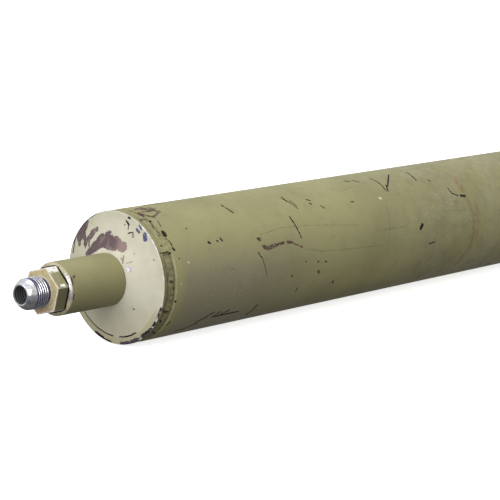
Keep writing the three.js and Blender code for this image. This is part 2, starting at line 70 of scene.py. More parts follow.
# ---------------------------------------------------------------- meshes


def link(name, mesh, place=None):
    """A new object. place is its matrix in millimetres; without it the cylinder's frame is used."""
    matrix = place if place is not None else spot(0)
    obj = bpy.data.objects.new(name, mesh)
    bpy.context.scene.collection.objects.link(obj)
    obj.matrix_world = Matrix.Translation(matrix.translation * MM) @ matrix.to_3x3().to_4x4()
    return obj


def spot(x, up=0.0):
    """The place x millimetres along the cylinder's axis and up above it."""
    return Matrix.Translation((AXIS_X + x, 0, AXIS_Z + up))


def finish_mesh(mesh, sharp=32):
    """Merges doubled points, faces everything outwards and shades it smooth except at hard edges."""
    bm = bmesh.new()
    bm.from_mesh(mesh)
    bmesh.ops.remove_doubles(bm, verts=bm.verts, dist=1e-6)
    bmesh.ops.recalc_face_normals(bm, faces=bm.faces)
    bm.to_mesh(mesh)
    bm.free()
    mesh.polygons.foreach_set("use_smooth", [True] * len(mesh.polygons))
    mesh.set_sharp_from_angle(angle=math.radians(sharp))
    mesh.update()
    return mesh


def grid_mesh(name, points, closed=True):
    """A mesh from rows of points. Each row is a ring; the rows make a ring too if closed."""
    count = len(points[0])
    verts = [tuple(c * MM for c in p) for row in points for p in row]
    last = len(points) if closed else len(points) - 1
    faces = []
    for i in range(last):
        a, b = i * count, ((i + 1) % len(points)) * count
        for j in range(count):
            k = (j + 1) % count
            faces.append((a + j, a + k, b + k, b + j))
    mesh = bpy.data.meshes.new(name)
    mesh.from_pydata(verts, [], faces)
    return finish_mesh(mesh)


def at(x, r, angle):
    return (x, -r * math.cos(angle), r * math.sin(angle))


def revolved(name, outline, sides=144, start=0.0):
    """A round mesh about +X. An outline entry is (x, radius), where radius may be a function of the
    angle, or a function of the angle that gives both."""
    angles = [start + 2 * math.pi * j / sides for j in range(sides)]
    rows = []
    for entry in outline:
        if callable(entry):
            rows.append([at(*entry(a), a) for a in angles])
        else:
            x, r = entry
            rows.append([at(x, r(a) if callable(r) else r, a) for a in angles])
    return grid_mesh(name, rows)


def skin(name, outline, sides, place=None):
    """A round object, see revolved and link."""
    return link(name, revolved(name, outline, sides), place)


def eased(outline, size, steps=3):
    """The closed outline with every corner rounded off by up to size."""
    result = []
    count = len(outline)
    for i in range(count):
        corner = Vector(outline[i])
        before, after = Vector(outline[i - 1]), Vector(outline[(i + 1) % count])
        back, forth = before - corner, after - corner
        if corner.y < 1e-6 or back.length < 1e-6 or forth.length < 1e-6:
            result.append(tuple(corner))
            continue
        reach = min(size, back.length * 0.4, forth.length * 0.4)
        a, b = corner + back.normalized() * reach, corner + forth.normalized() * reach
        for k in range(steps + 1):
            t = k / steps
            result.append(tuple(a * (1 - t) ** 2 + corner * 2 * t * (1 - t) + b * t * t))
    return result


def baked(obj):
    """Applies obj's modifiers to its mesh."""
    graph = bpy.context.evaluated_depsgraph_get()
    mesh = bpy.data.meshes.new_from_object(obj.evaluated_get(graph))
    obj.modifiers.clear()
    obj.data = mesh
    return obj


def combine(obj, mesh, kind, place=None):
    """Cuts mesh out of obj, or joins it to obj, exactly. Both are in obj's frame unless place is given."""
    other = bpy.data.objects.new("tool", mesh)
    bpy.context.scene.collection.objects.link(other)
    other.matrix_world = obj.matrix_world @ (place or Matrix.Identity(4))
    step = obj.modifiers.new("combine", "BOOLEAN")
    step.operation, step.object, step.solver = kind, other, "EXACT"
    bpy.context.view_layer.update()
    baked(obj)
    bpy.data.objects.remove(other)
    return obj


def block_mesh(low, high, bevel):
    bm = bmesh.new()
    bmesh.ops.create_cube(bm, size=1)
    for v in bm.verts:
        for k in range(3):
            v.co[k] = (low[k] if v.co[k] < 0 else high[k]) * MM
    bmesh.ops.bevel(bm, geom=bm.edges, offset=bevel * MM, segments=3, affect="EDGES", profile=0.5)
    mesh = bpy.data.meshes.new("block")
    bm.to_mesh(mesh)
    bm.free()
    return mesh


def piece(obj, body, slot, material, *replaced):
    """Dresses obj, makes it ride on body and lets it stand for CAD nodes."""
    obj.data.materials.clear()
    obj.data.materials.append(material)
    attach(obj, body)
    if replaced:
        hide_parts(*replaced)
    return obj


# ---------------------------------------------------------------- material nodes


class Look:
    """A material and short names for the nodes that make it up. Positions in it are in millimetres."""

    def __init__(self, name, offset=(0, 0, 0)):
        self.material = bpy.data.materials.new(name)
        self.material.use_nodes = True
        self.tree = self.material.node_tree
        self.shader = self.tree.nodes["Principled BSDF"]
        place = self.tree.nodes.new("ShaderNodeTexCoord").outputs["Object"]
        self.point = self.vector("MULTIPLY", place, (1000, 1000, 1000))
        if any(offset):
            self.point = self.vector("ADD", self.point, offset)
        split = self.tree.nodes.new("ShaderNodeSeparateXYZ")
        self.tree.links.new(self.point, split.inputs[0])
        self.x, self.y, self.z = split.outputs

    def put(self, socket, value):
        if isinstance(value, bpy.types.NodeSocket):
            self.tree.links.new(value, socket)
        elif socket.type == "RGBA" and len(value) == 3:
            socket.default_value = (*value, 1)
        else:
            socket.default_value = value

    def node(self, kind, inputs, **settings):
        made = self.tree.nodes.new(kind)
        for key, value in settings.items():
            setattr(made, key, value)
        for key, value in inputs.items():
            self.put(made.inputs[key], value)
        return made

    def vector(self, operation, *values):
        made = self.node("ShaderNodeVectorMath", dict(enumerate(values)), operation=operation)
        return made.outputs["Value" if operation in ("LENGTH", "DOT_PRODUCT") else "Vector"]

    def math(self, operation, *values):
        return self.node("ShaderNodeMath", dict(enumerate(values)), operation=operation).outputs[0]

    def join(self, x, y, z=0.0):
        return self.node("ShaderNodeCombineXYZ", {0: x, 1: y, 2: z}).outputs[0]

    def ramp(self, value, low, high, to_low=0.0, to_high=1.0):
        """value taken smoothly from low..high to to_low..to_high, and held there beyond."""
        made = self.node(
            "ShaderNodeMapRange",
            {"Value": value, "From Min": low, "From Max": high, "To Min": to_low, "To Max": to_high},
            interpolation_type="SMOOTHSTEP",
        )
        return made.outputs[0]

    def noise(self, size, detail=3.0, rough=0.55, point=None):
        """Noise from 0 to 1 whose blobs are about size millimetres across."""
        place = self.point if point is None else point
        inputs = {"Vector": place, "Scale": 1.0 / size, "Detail": detail, "Roughness": rough}
        return self.node("ShaderNodeTexNoise", inputs).outputs[0]

    def patches(self, low, high, size, detail=3, rough=0.55, to_low=0.0, to_high=1.0):
        """Noise whose values from low to high are spread out over to_low to to_high."""
        return self.ramp(self.noise(size, detail, rough), low, high, to_low, to_high)

    def band(self, value, start, full, fall, end):
        """1 where value is between full and fall, easing to 0 at start and end."""
        return self.both(self.ramp(value, start, full), self.ramp(value, end, fall))

    def specks(self, spacing, share, point=None):
        """Scattered round specks, about spacing millimetres apart, that take up to share of it."""
        made = self.node(
            "ShaderNodeTexVoronoi",
            {"Vector": self.point if point is None else point, "Scale": 1.0 / spacing, "Randomness": 1.0},
        )
        pick = self.node("ShaderNodeSeparateColor", {0: made.outputs["Color"]}).outputs[0]
        reach = self.math("MULTIPLY", self.math("POWER", pick, 4.0), share)
        return self.math("GREATER_THAN", reach, made.outputs["Distance"])

    def mix(self, amount, a, b):
        made = self.node("ShaderNodeMix", {}, data_type="RGBA")
        for socket, value in ((made.inputs["Factor"], amount), (made.inputs[6], a), (made.inputs[7], b)):
            self.put(socket, value)
        return made.outputs[2]

    def layer(self, color, tint, *masks):
        """color, with tint over it as far as the product of the masks."""
        return self.mix(self.both(*masks), color, tint)

    def blend(self, amount, a, b):
        """A number mixed from a to b."""
        made = self.node("ShaderNodeMix", {}, data_type="FLOAT")
        for socket, value in zip(made.inputs[:1] + made.inputs[2:4], (amount, a, b)):
            self.put(socket, value)
        return made.outputs[0]

    def most(self, *values):
        """The largest of the values."""
        return reduce(lambda a, b: self.math("MAXIMUM", a, b), values)

    def both(self, *values):
        """The product of the values."""
        return reduce(lambda a, b: self.math("MULTIPLY", a, b), values)

    def none_of(self, value):
        return self.math("SUBTRACT", 1.0, value)

    def radius(self):
        return self.math("SQRT", self.math("ADD", self.both(self.y, self.y), self.both(self.z, self.z)))

    def angle(self):
        """The angle round the axis, from the side to the top, in radians."""
        return self.math("ARCTAN2", self.z, self.both(self.y, -1.0))

    def wobble(self, size, scale, **inputs):
        """Wandering offsets in a plane, of up to about size / 4 millimetres either way."""
        inputs = {"Vector": self.point, "Scale": scale, **inputs}
        away = self.node("ShaderNodeTexNoise", inputs).outputs["Color"]
        return self.vector("MULTIPLY", self.vector("SUBTRACT", away, (0.5, 0.5, 0.5)), (size, size, 0))

    def unrolled(self, radius):
        """(x, distance round the barrel from its side, 0), with a slightly ragged edge to it."""
        return self.vector("ADD", self.join(self.x, self.both(self.angle(), radius)),
                           self.wobble(1.5, 0.9, Detail=2.0))

    def strokes(self, point, lines, scale=(1.0, 1.0), soft=0.14):
        """1 on every line (a, b, c, d, width) from (a, b) to (c, d), falling off over soft millimetres.

        The nearest line so far is kept as the lines are added, so few values are alive at once."""
        nearest = None
        for a, b, c, d, width in lines:
            start, end = Vector((a * scale[0], b * scale[1], 0)), Vector((c * scale[0], d * scale[1], 0))
            along = end - start
            away = self.vector("SUBTRACT", point, tuple(start))
            if along.length > width * 0.4:
                share = self.vector("DOT_PRODUCT", away, tuple(along / along.dot(along)))
                share = self.math("MINIMUM", self.math("MAXIMUM", share, 0.0), 1.0)
                foot = self.node("ShaderNodeVectorMath", {0: tuple(along), "Scale": share}, operation="SCALE")
                away = self.vector("SUBTRACT", away, foot.outputs[0])
            gap = self.math("SUBTRACT", self.vector("LENGTH", away), width / 2)
            nearest = gap if nearest is None else self.math("MINIMUM", nearest, gap)
        return self.ramp(nearest, -soft, soft, 1.0, 0.0)

    def finish(self, color, rough, metallic=0.0, height=None, depth=0.1, gloss=0.5):
        """Joins up the shader. height is in depths of depth millimetres."""
        self.shader.inputs["Specular IOR Level"].default_value = gloss
        self.put(self.shader.inputs["Base Color"], color)
        self.put(self.shader.inputs["Roughness"], rough)
        self.put(self.shader.inputs["Metallic"], metallic)
        if height is not None:
            bump = self.node("ShaderNodeBump", {"Height": height, "Distance": depth * MM, "Strength": 1.0})
            self.put(self.shader.inputs["Normal"], bump.outputs[0])
        return self.material


OLIVE_LIGHT = (0.345, 0.325, 0.155)
OLIVE = (0.285, 0.268, 0.128)
OLIVE_DARK = (0.19, 0.18, 0.09)
CREAM = (0.70, 0.675, 0.545)
CREAM_DULL = (0.52, 0.485, 0.345)
PRIMER = (0.135, 0.098, 0.10)
PRIMER_PALE = (0.32, 0.225, 0.215)
BLACK_SCRATCH = (0.018, 0.013, 0.012)
RUST = (0.10, 0.035, 0.018)
GROOVE_SHADE_AND_DIRT = (0.06, 0.046, 0.028)
GRIT = (0.42, 0.38, 0.32)

PAINT_GLOSS, BARREL_GLOSS = 0.28, 0.22  # the shader's specular level
PAINT_DEPTH, WELD_DEPTH = 0.12, 0.16  # height of the paint's texture, in millimetres

DEGREE = math.radians(1) * BARREL  # one degree round the barrel, in millimetres

# Scratches on the barrel: x, angle, x, angle, width.
DARK_SCRATCHES = [
    (83.3, 66, 83.7, 65, 1.8), (84, 62, 86, 54.5, 1.3), (48, 29.5, 49, 28.5, 1.8), (56, 29.5, 57, 29, 1.3),
    (60, 31, 61, 29, 1.5), (144, 65, 143, 58, 0.9), (144, 58, 148, 47, 0.9), (141, 64, 145, 56, 0.9),
    (147, 59, 148.5, 50, 0.8), (135, 40, 136.5, 28, 1.3), (136.5, 28, 138, 19, 0.9), (92, 13, 95, 8, 0.9),
    (95, 8, 100, -9, 0.55), (137, -28, 137, -32, 1.1), (126.5, -13.5, 127, -14.5, 1.3),
    (176, -29, 176.5, -30.5, 1.7), (140, -3, 140.5, -3, 1.0), (153, -5, 154, -5, 1.2),
    (161, -6.5, 163, -6.5, 0.9), (98.5, -54, 101, -40, 1.6), (60, -43.5, 84, -43.5, 1.5),
    (44, -47, 57, -37, 1.4), (37, -55, 46, -49, 1.4), (58, -44, 63, -38, 1.3), (66, -42, 72, -38.5, 1.2),
    (30, -57, 38, -55, 1.4), (304, 56, 305, 54.5, 1.2), (163, 51, 164, 49.5, 1.3), (163, 56, 166, 54, 1.1),
    (172, 46, 174, 43, 1.0), (225, 73, 222, 75, 1.4), (205, 45, 207, 44.5, 1.2),
    (229.5, 74, 232.5, 69, 1.3), (248.5, 72, 250.5, 64, 1.2), (250.5, 64, 249.5, 51, 1.1),
    (272, 74, 255, 56, 1.1), (255, 58, 251, 50, 1.3), (293, 73, 291, 58, 1.3), (270.5, 7.5, 273, 10.5, 2.8),
    (281, -9, 288, -8.5, 1.0), (318, 42, 319, 36, 1.1), (319, 36, 325, 32.5, 1.1), (328, 32, 333, 31, 2.0),
    (13.4, 45.5, 13.4, 43, 3.4), (12, 40, 14.3, 35.6, 0.8), (14.3, 35.6, 14.5, 31, 0.8),
    (14.4, 29.5, 15.2, 28, 1.7), (9, 48, 10, 43.5, 0.9), (11.4, 61.5, 8.4, 52, 0.9),
    (5.4, 33.6, 5.5, 33, 1.4), (7.8, 43, 8, 42.5, 1.2), (35, 45.8, 35.2, 45.4, 1.3),
    (17, 20.2, 17.3, 20, 1.3), (6.6, 2.2, 7.4, 1.8, 1.7), (9.5, -3, 10, -5, 1.7),
    (12.2, -15.6, 12.3, -16.4, 1.4), (3.5, -25.6, 7.5, -24.6, 1.1), (1.5, 27.2, 8, 27.3, 0.8),
    (8, 27.4, 11.4, 25.6, 0.7), (14.8, -37.6, 13.6, -41, 1.3), (10.5, -53, 5.5, -49.6, 1.3),
    (2.0, -22, 3.6, -23.5, 1.0), (4, -33, 6, -36, 1.0), (3.5, 8, 3.6, 0, 0.7), (4, -2, 3.9, -9, 0.6),
]
FAINT_SCRATCHES = [
    (98, 28, 120, 31, 0.5), (120, 31, 150, 29, 0.5), (150, 29, 201, 21, 0.45), (140, 8.5, 158, 3.5, 0.6),
    (158, 3.5, 178, 1.5, 0.6), (178, 1.5, 226, -1.5, 0.5), (239, 35, 230, -12, 0.5),
    (219, 12.7, 257, 11.8, 0.6), (270, -38, 283, -14, 0.6), (300, 20, 330, 17, 0.5),
    (205, 60, 240, 66, 0.4), (60, 5, 68, 2, 0.5),
]
RUSTY_SCRATCHES = [
    (95, 24.8, 97, 24.2, 2.6), (98.5, 17.5, 102, 15, 3.0), (102, 15, 110, 16.5, 3.0),
    (110, 16.5, 119, 17.5, 2.0), (123, 17.6, 127, 16.5, 2.0), (127, 16.5, 137, 10.7, 1.2),
    (155, -14.5, 156.5, -16, 2.2), (17, 82, 22, 79, 3.2), (21, 79, 27, 78.2, 3.0),
    (24, 77, 25.5, 73.6, 2.6), (12.4, 71, 13.7, 67.6, 2.4), (13.7, 67.6, 17.5, 65, 2.6),
    (28, 71.7, 23.3, 69.2, 1.5), (23.3, 69.2, 17, 65, 1.6), (30, 93, 46, 94.5, 2.8),
    (4.6, 65, 8.8, 63.2, 1.8), (11, 76, 12, 70, 2.2), (14, 84, 22, 86, 2.6), (27.6, 71.9, 28.4, 71.5, 2.4),
    (9, 62, 6, 66, 1.2), (17, 60, 15, 52, 1.0), (14, 76, 20, 74, 1.6), (19, 76, 26, 74.5, 1.8),
    (20, 84, 27, 82, 2.0),
]
RUST_STAINS = [
    (333, 57, 333, 34, 3.2), (333, 34, 336.5, 8, 2.6), (336.5, 8, 336, -20, 3.4), (336, -20, 329, -42, 3.0),
    (342, 26, 342, -16, 1.6), (331, 41, 335.5, 39, 3.4), (333, 44, 336, 43, 2.6), (337, 11, 339.5, 10, 2.6),
    (330, 62, 333, 62, 1.6), (319, 27, 320.5, 26.5, 1.8),
]
PALE_NICKS = [
    (236.5, 43.8, 238, 43.4, 1.7), (15.7, -1, 16, -1.5, 0.9), (24, 16.2, 25, 14.8, 0.9),
    (3.2, 26.3, 3.8, 25.8, 1.3),
]


def olive_paint(name, offset=(0, 0, 0), marked=True):
    """Olive enamel with mottling, scattered chips and, on the barrel, its own scratches."""
    look = Look(name, offset)
    mottle = look.noise(7, 4, 0.6)
    grain = look.noise(0.9, 2, 0.7)
    color = look.mix(look.patches(0.36, 0.66, 60), OLIVE, OLIVE_LIGHT)
    color = look.mix(look.ramp(mottle, 0.52, 0.80, 0.0, 0.30), color, OLIVE_DARK)
    color = look.mix(look.ramp(grain, 0.35, 0.75, 0.0, 0.22), color, OLIVE_DARK)
    streak = look.noise(1.6, 2, 0.5, look.vector("MULTIPLY", look.point, (0.05, 1.0, 1.0)))
    color = look.mix(look.ramp(streak, 0.60, 0.72, 0.0, 0.10), color, OLIVE_LIGHT)
    if marked:
        # Painted shade with dirt in the weld's groove, and a pale ridge along the weld's far edge.
        color = look.layer(color, GROOVE_SHADE_AND_DIRT, look.ramp(look.radius(), 43.7, 42.8),
                           look.patches(0.38, 0.66, 3.2, 3, 0.7, 0.05, 1.0), 0.55)
        ridge = look.both(look.band(look.x, 11.3, 11.7, 12.2, 12.7), look.ramp(look.z, 24, 14))
        color = look.layer(color, (0.47, 0.42, 0.30), ridge, look.patches(0.40, 0.55, 2.5, 3, 0.7), 0.6)
        # The dull, gritty lower side near the cap, and dust and grime further along.
        side = look.both(look.ramp(look.z, 30, -8), look.ramp(look.x, 190, 60), look.ramp(look.x, 14, 24))
        color = look.layer(color, (0.225, 0.20, 0.155), side, 0.58)
        color = look.layer(color, GRIT, side, look.patches(0.54, 0.66, 1.3, 2, 0.8), 0.42)
        dust = look.both(look.ramp(look.x, 215, 290), look.patches(0.46, 0.64, 1.5, 3, 0.75))
        color = look.layer(color, (0.42, 0.39, 0.31), dust, look.patches(0.40, 0.62, 24), 0.55)
        color = look.layer(color, (0.19, 0.165, 0.105), look.ramp(look.x, 200, 300),
                           look.patches(0.46, 0.64, 11, 4, 0.65), 0.30)
    dark = look.specks(17, 0.055)
    fine = look.specks(7, 0.05, look.vector("ADD", look.point, (31, 7, 3)))
    pale = look.specks(23, 0.035, look.vector("ADD", look.point, (5, 11, 17)))
    faint, rusty = fine, 0.0
    if marked:
        point = look.unrolled(BARREL)
        turn = (1.0, DEGREE)
        dark = look.most(dark, look.strokes(point, DARK_SCRATCHES, turn))
        broken = look.patches(0.38, 0.56, 4, 3, 0.7, 0.22, 0.85)
        lines = look.both(look.strokes(point, FAINT_SCRATCHES, turn), broken)
        faint = look.most(look.both(fine, 0.8), lines)
        rusty = look.both(look.strokes(point, RUSTY_SCRATCHES, turn), look.patches(0.38, 0.50, 1.4, 3, 0.7))
        pale = look.most(pale, look.strokes(point, PALE_NICKS, turn))
        color = look.layer(color, (0.26, 0.135, 0.055), look.strokes(point, RUST_STAINS, turn, 1.6),
                           look.patches(0.36, 0.60, 2.6, 4, 0.7), 0.8)
    color = look.layer(color, (0.07, 0.06, 0.04), faint, 0.55)
    color = look.mix(rusty, color, look.mix(look.noise(1.1), RUST, (0.10, 0.07, 0.065)))
    color = look.mix(dark, color, BLACK_SCRATCH)
    color = look.mix(pale, color, (0.62, 0.58, 0.42))
    rough = look.ramp(mottle, 0.3, 0.7, 0.38, 0.52)
    rough = look.blend(look.most(dark, rusty), rough, 0.75)
    height = look.math("ADD", look.both(look.noise(2.6, 2, 0.5), 0.35), look.both(grain, 0.18))
    height = look.math("SUBTRACT", height, look.both(look.most(dark, rusty, look.both(faint, 0.5)), 0.9))
    return look, color, rough, height


def olive_material(name, offset, marked, gloss):
    look, color, rough, height = olive_paint(name, offset, marked)
    return look.finish(color, rough, 0.0, height, PAINT_DEPTH, gloss)


def weld_material():
    """The barrel's paint, thicker and dirtier, over a weld."""
    look, color, rough, height = olive_paint("olive_weld")
    color = look.layer(color, (0.10, 0.085, 0.05), look.patches(0.50, 0.74, 2.2, 4, 0.7, 0.0, 0.75))
    pits = look.specks(4.5, 0.10)
    color = look.mix(pits, color, BLACK_SCRATCH)
    color = look.layer(color, (0.09, 0.072, 0.045), look.ramp(look.z, 26, 8),
                       look.patches(0.30, 0.62, 3.4, 4, 0.7, 0.25, 1.0), 0.5)
    # Painted highlights: pale specks that stand in for glints on the weld's lumps.
    painted_glint = look.specks(9, 0.05, look.vector("ADD", look.point, (2, 9, 4)))
    color = look.mix(painted_glint, color, (0.75, 0.72, 0.60))
    lumps = look.both(look.noise(1.7, 4, 0.65), 1.6)
    height = look.math("SUBTRACT", look.math("ADD", height, lumps), look.both(pits, 1.5))
    return look.finish(color, rough, 0.0, height, WELD_DEPTH, PAINT_GLOSS)


def cap_material():
    """Cream on the flat face, chipped to primer, and olive on the rim."""
    look, olive, rough, height = olive_paint("cap_paint")
    flat = look.join(look.y, look.z)
    shift = look.wobble(5.0, 0.42, Detail=4.0, Roughness=0.75)
    ragged = look.vector("ADD", flat, shift)
    crisp = look.vector("ADD", flat, look.vector("MULTIPLY", shift, (0.25, 0.25, 0)))
    r = look.radius()
    cream = look.layer(CREAM, (0.55, 0.53, 0.38), look.patches(0.35, 0.7, 13, 4, 0.6, 0.0, 0.45))
    # The cream is duller towards the bottom and the +Y side, with runs down the face.
    low = look.ramp(look.math("ADD", look.both(look.y, -0.35), look.z), 2, -34)
    runs = look.noise(3.5, 3, 0.6, look.vector("MULTIPLY", look.point, (1, 1, 0.12)))
    dulling_low_and_plus_y = look.most(look.both(low, 0.75), look.ramp(look.y, 6, 40, 0.0, 0.55))
    cream = look.layer(cream, CREAM_DULL, dulling_low_and_plus_y, look.ramp(runs, 0.25, 0.7, 0.55, 1.0))
    cream = look.layer(cream, (0.47, 0.43, 0.26), look.ramp(r, 39.0, 39.6), look.ramp(look.z, -12, -24), 0.75)
    cream = look.layer(cream, (0.50, 0.48, 0.36), look.ramp(look.z, 16, 36, 0.0, 0.34))
    cream = look.layer(cream, (0.25, 0.22, 0.15), look.specks(6, 0.035), 0.5)

    primer = look.strokes(ragged, [
        (20.5, 14, 15, 19, 5.5), (15, 18.5, 10, 22, 7.0), (9, 24, 2, 25, 8.6), (3, 24.5, -6, 23.6, 9.0),
        (-6, 23.6, -12, 22.2, 6.4), (4, 28.5, 2, 29.3, 3.4), (28, 34.5, 31, 28, 7.5),
        (31, 28, 33, 23.5, 6.5), (33.5, 24, 32.4, 19, 3.4), (30, 28, 27.4, 23.5, 4.2),
        (18, 28.6, 22, 23.8, 4.4), (22, 24, 26, 20.2, 3.4), (24, 22, 24.6, 18, 2.2),
        (22, 23.5, 20.6, 19.4, 2.0), (14.8, 30.6, 14.2, 30, 3.4),
    ])
    slivers = look.strokes(crisp, [
        (-17.6, 31.6, -18.2, 29, 1.4), (-14, 16.7, -14.2, 12, 0.8), (-12.5, 15.3, -14.4, 13, 0.8),
        (-16.7, 12.2, -20.5, 13.4, 0.4), (-21, 19, -21.4, 18.4, 0.5),
    ])
    dark = look.strokes(crisp, [
        (-10.9, 38.5, -13.4, 36.1, 1.2), (-13.2, 36.1, -13.3, 33.6, 0.7), (-12.8, 40.8, -14, 40.6, 1.6),
        (-13.9, 31, -17, 31.7, 0.8), (-9.5, 36, -10.5, 36, 0.4), (39.5, 12, 36.5, 24, 0.8),
        (41.9, 14.5, 35.5, 26.5, 1.6), (35, 27.5, 26, 35.5, 1.2), (24.5, 36.5, 15, 41.6, 0.9),
        (18.5, -39.4, 12, -42, 3.4), (12, -42.2, 5, -43.4, 2.2), (-26, -35.2, -31, -30.5, 2.4),
        (-31.5, -30.5, -36, -25, 1.9), (-37, -23.5, -41, -15, 1.2), (43.2, -8, 34, -27.3, 0.8),
        (-20.3, -17.5, -21, -17.8, 0.8), (-35, 16, -35.6, 15.6, 0.6),
    ])
    bruise = look.strokes(ragged, [
        (-5, -43, -12, -41.6, 2.2), (-14, -41, -21, -38, 3.0), (-24, -36, -28, -33, 2.6),
    ])
    # A dark line along two arcs of the cone's outer edge, low down: painted shadow under the edge, with dirt
    # in it.
    wandering = look.math("ADD", r, look.both(look.noise(5, 2), 1.2))
    edge_shadow_and_dirt = look.ramp(look.math("ABSOLUTE", look.math("SUBTRACT", wandering, 39.4)), 0.36, 0.62, 1.0, 0.0)
    degrees = look.both(look.angle(), math.degrees(1))
    arcs = look.most(look.band(degrees, -139, -137, -94, -92), look.band(degrees, -86, -84, -62, -60))
    edge_shadow_and_dirt = look.both(edge_shadow_and_dirt, arcs)
    blue = look.both(look.patches(0.30, 0.42, 1.6, 3, 0.7), look.strokes(crisp, [
        (-27.3, 31, -27.8, 28.4, 3.4), (-22.4, 36.6, -23.6, 35, 1.5), (-20.4, 33.8, -22.2, 32.2, 1.8),
        (-24, 35, -24.4, 34, 1.0),
    ]))
    lilac = look.strokes(ragged, [(-17.5, 10, -20.6, 9.4, 2.0), (-17.6, 8, -20.4, 7.6, 1.8)])
    edge = look.both(look.ramp(r, 43.2, 43.7), look.patches(0.5, 0.6, 3, 3, 0.7), look.ramp(look.y, -18, -24))

    # Painted light: the primer is paler towards the lit -Y side, and also in random patches.
    pale = look.ramp(look.math("ADD", look.y, look.both(look.noise(3, 3), 6)), 0, -8)
    pale = look.most(look.both(look.patches(0.50, 0.68, 5, 4, 0.65), 0.7), pale)
    color = look.layer(cream, look.mix(pale, PRIMER, PRIMER_PALE), look.most(primer, slivers))
    color = look.layer(color, (0.10, 0.11, 0.22), blue)
    smudge = look.mix(look.patches(0.42, 0.55, 1.5), (0.86, 0.84, 0.86), (0.52, 0.45, 0.56))
    color = look.layer(color, smudge, lilac, 0.9)
    color = look.layer(color, look.mix(look.noise(2.5, 3), (0.03, 0.022, 0.035), (0.11, 0.09, 0.12)), bruise)
    color = look.layer(color, (0.022, 0.014, 0.02), look.most(dark, edge_shadow_and_dirt))
    color = look.layer(color, (0.85, 0.84, 0.80), edge)
    # The rim is browner low down, with a dark line along the face's edge higher up.
    olive = look.layer(olive, (0.095, 0.075, 0.042), look.ramp(look.z, 26, 10),
                       look.patches(0.25, 0.6, 2.4, 3, 0.55, 0.4, 1.0), 0.6)
    border = look.both(look.band(look.x, 0.5, 0.7, 1.0, 1.3), look.ramp(look.z, 3, 12))
    olive = look.layer(olive, (0.05, 0.035, 0.025), border, 0.55)
    face = look.ramp(look.x, 0.35, 0.75, 1.0, 0.0)
    chips = look.most(primer, slivers, dark, edge_shadow_and_dirt, blue)
    face_height = look.math("SUBTRACT", look.both(look.noise(1.2, 3, 0.6), 0.25), look.both(chips, 1.0))
    color = look.mix(face, olive, color)
    rough = look.blend(face, rough, look.blend(chips, 0.55, 0.7))
    height = look.blend(face, height, face_height)
    return look.finish(color, rough, 0.0, height, WELD_DEPTH, PAINT_GLOSS)


def stub_material():
    """Olive on the stub, cream at its root, bare metal on its worn end."""
    away = (190, 30, 12)  # moves the paint's pattern off the barrel's
    look, olive, rough, height = olive_paint("stub_paint", away, marked=False)
    x, y, z = (look.math("SUBTRACT", value, shift) for value, shift in zip((look.x, look.y, look.z), away))
    x = look.math("ADD", x, look.both(look.math("SUBTRACT", look.noise(2.5, 3), 0.5), 0.8))
    end = look.ramp(x, -54.55, -54.35, 1.0, 0.0)
    shade = look.ramp(z, 6, -14)
    color = look.layer(olive, OLIVE_DARK, 0.14)
    # Painted shade: the stub is darker olive on its lower side, with greyish patches mixed in there.
    color = look.layer(color, OLIVE_DARK, shade, 0.4)
    color = look.layer(color, (0.36, 0.33, 0.25), look.patches(0.52, 0.68, 1.2, 3, 0.8), shade, 0.35)
    nicks = look.strokes(look.join(x, z), [
        (-53.6, 8.6, -53.9, 5, 1.5), (-53.4, -1.5, -53.8, -4.5, 1.1), (-50, 9.6, -51.5, 8.8, 1.2),
    ])
    color = look.layer(color, (0.10, 0.05, 0.045), nicks, look.ramp(y, -4, -8))
    color = look.layer(color, CREAM, look.ramp(x, -7.75, -7.55))
    color = look.layer(color, (0.06, 0.05, 0.03), look.band(x, -8.2, -7.9, -7.7, -7.55), 0.8)
    scuff = look.patches(0.55, 0.62, 1.1, 3, 0.65)
    tan = look.mix(look.noise(1.2, 3, 0.7), (0.42, 0.37, 0.22), (0.62, 0.56, 0.40))
    bright = look.both(look.band(z, -7, -4, 10, 13), look.ramp(y, -8, -11))
    worn = look.layer(tan, (0.70, 0.68, 0.68), bright, 0.8)
    worn = look.layer(worn, (0.16, 0.06, 0.06), scuff, 0.8)
    # Painted shadow, with some dirt, in the narrow gap behind the hexagon, which follows the hexagon's
    # outline.
    across = [look.math("ABSOLUTE", look.math("ADD", look.both(y, math.cos(t)), look.both(z, math.sin(t))))
              for t in (math.radians(60 * k + 30 - BASE_CORNER) for k in range(3))]
    gap = look.both(look.ramp(look.most(*across), 15.0, 14.75), look.ramp(x, -55.75, -55.9))
    worn = look.layer(worn, (0.008, 0.007, 0.006), gap)
    metal = look.both(end, bright, look.none_of(scuff), look.none_of(gap), 0.8)
    color, rough = look.mix(end, color, worn), look.blend(end, rough, 0.34)
    return look.finish(color, rough, metal, height, PAINT_DEPTH, PAINT_GLOSS)


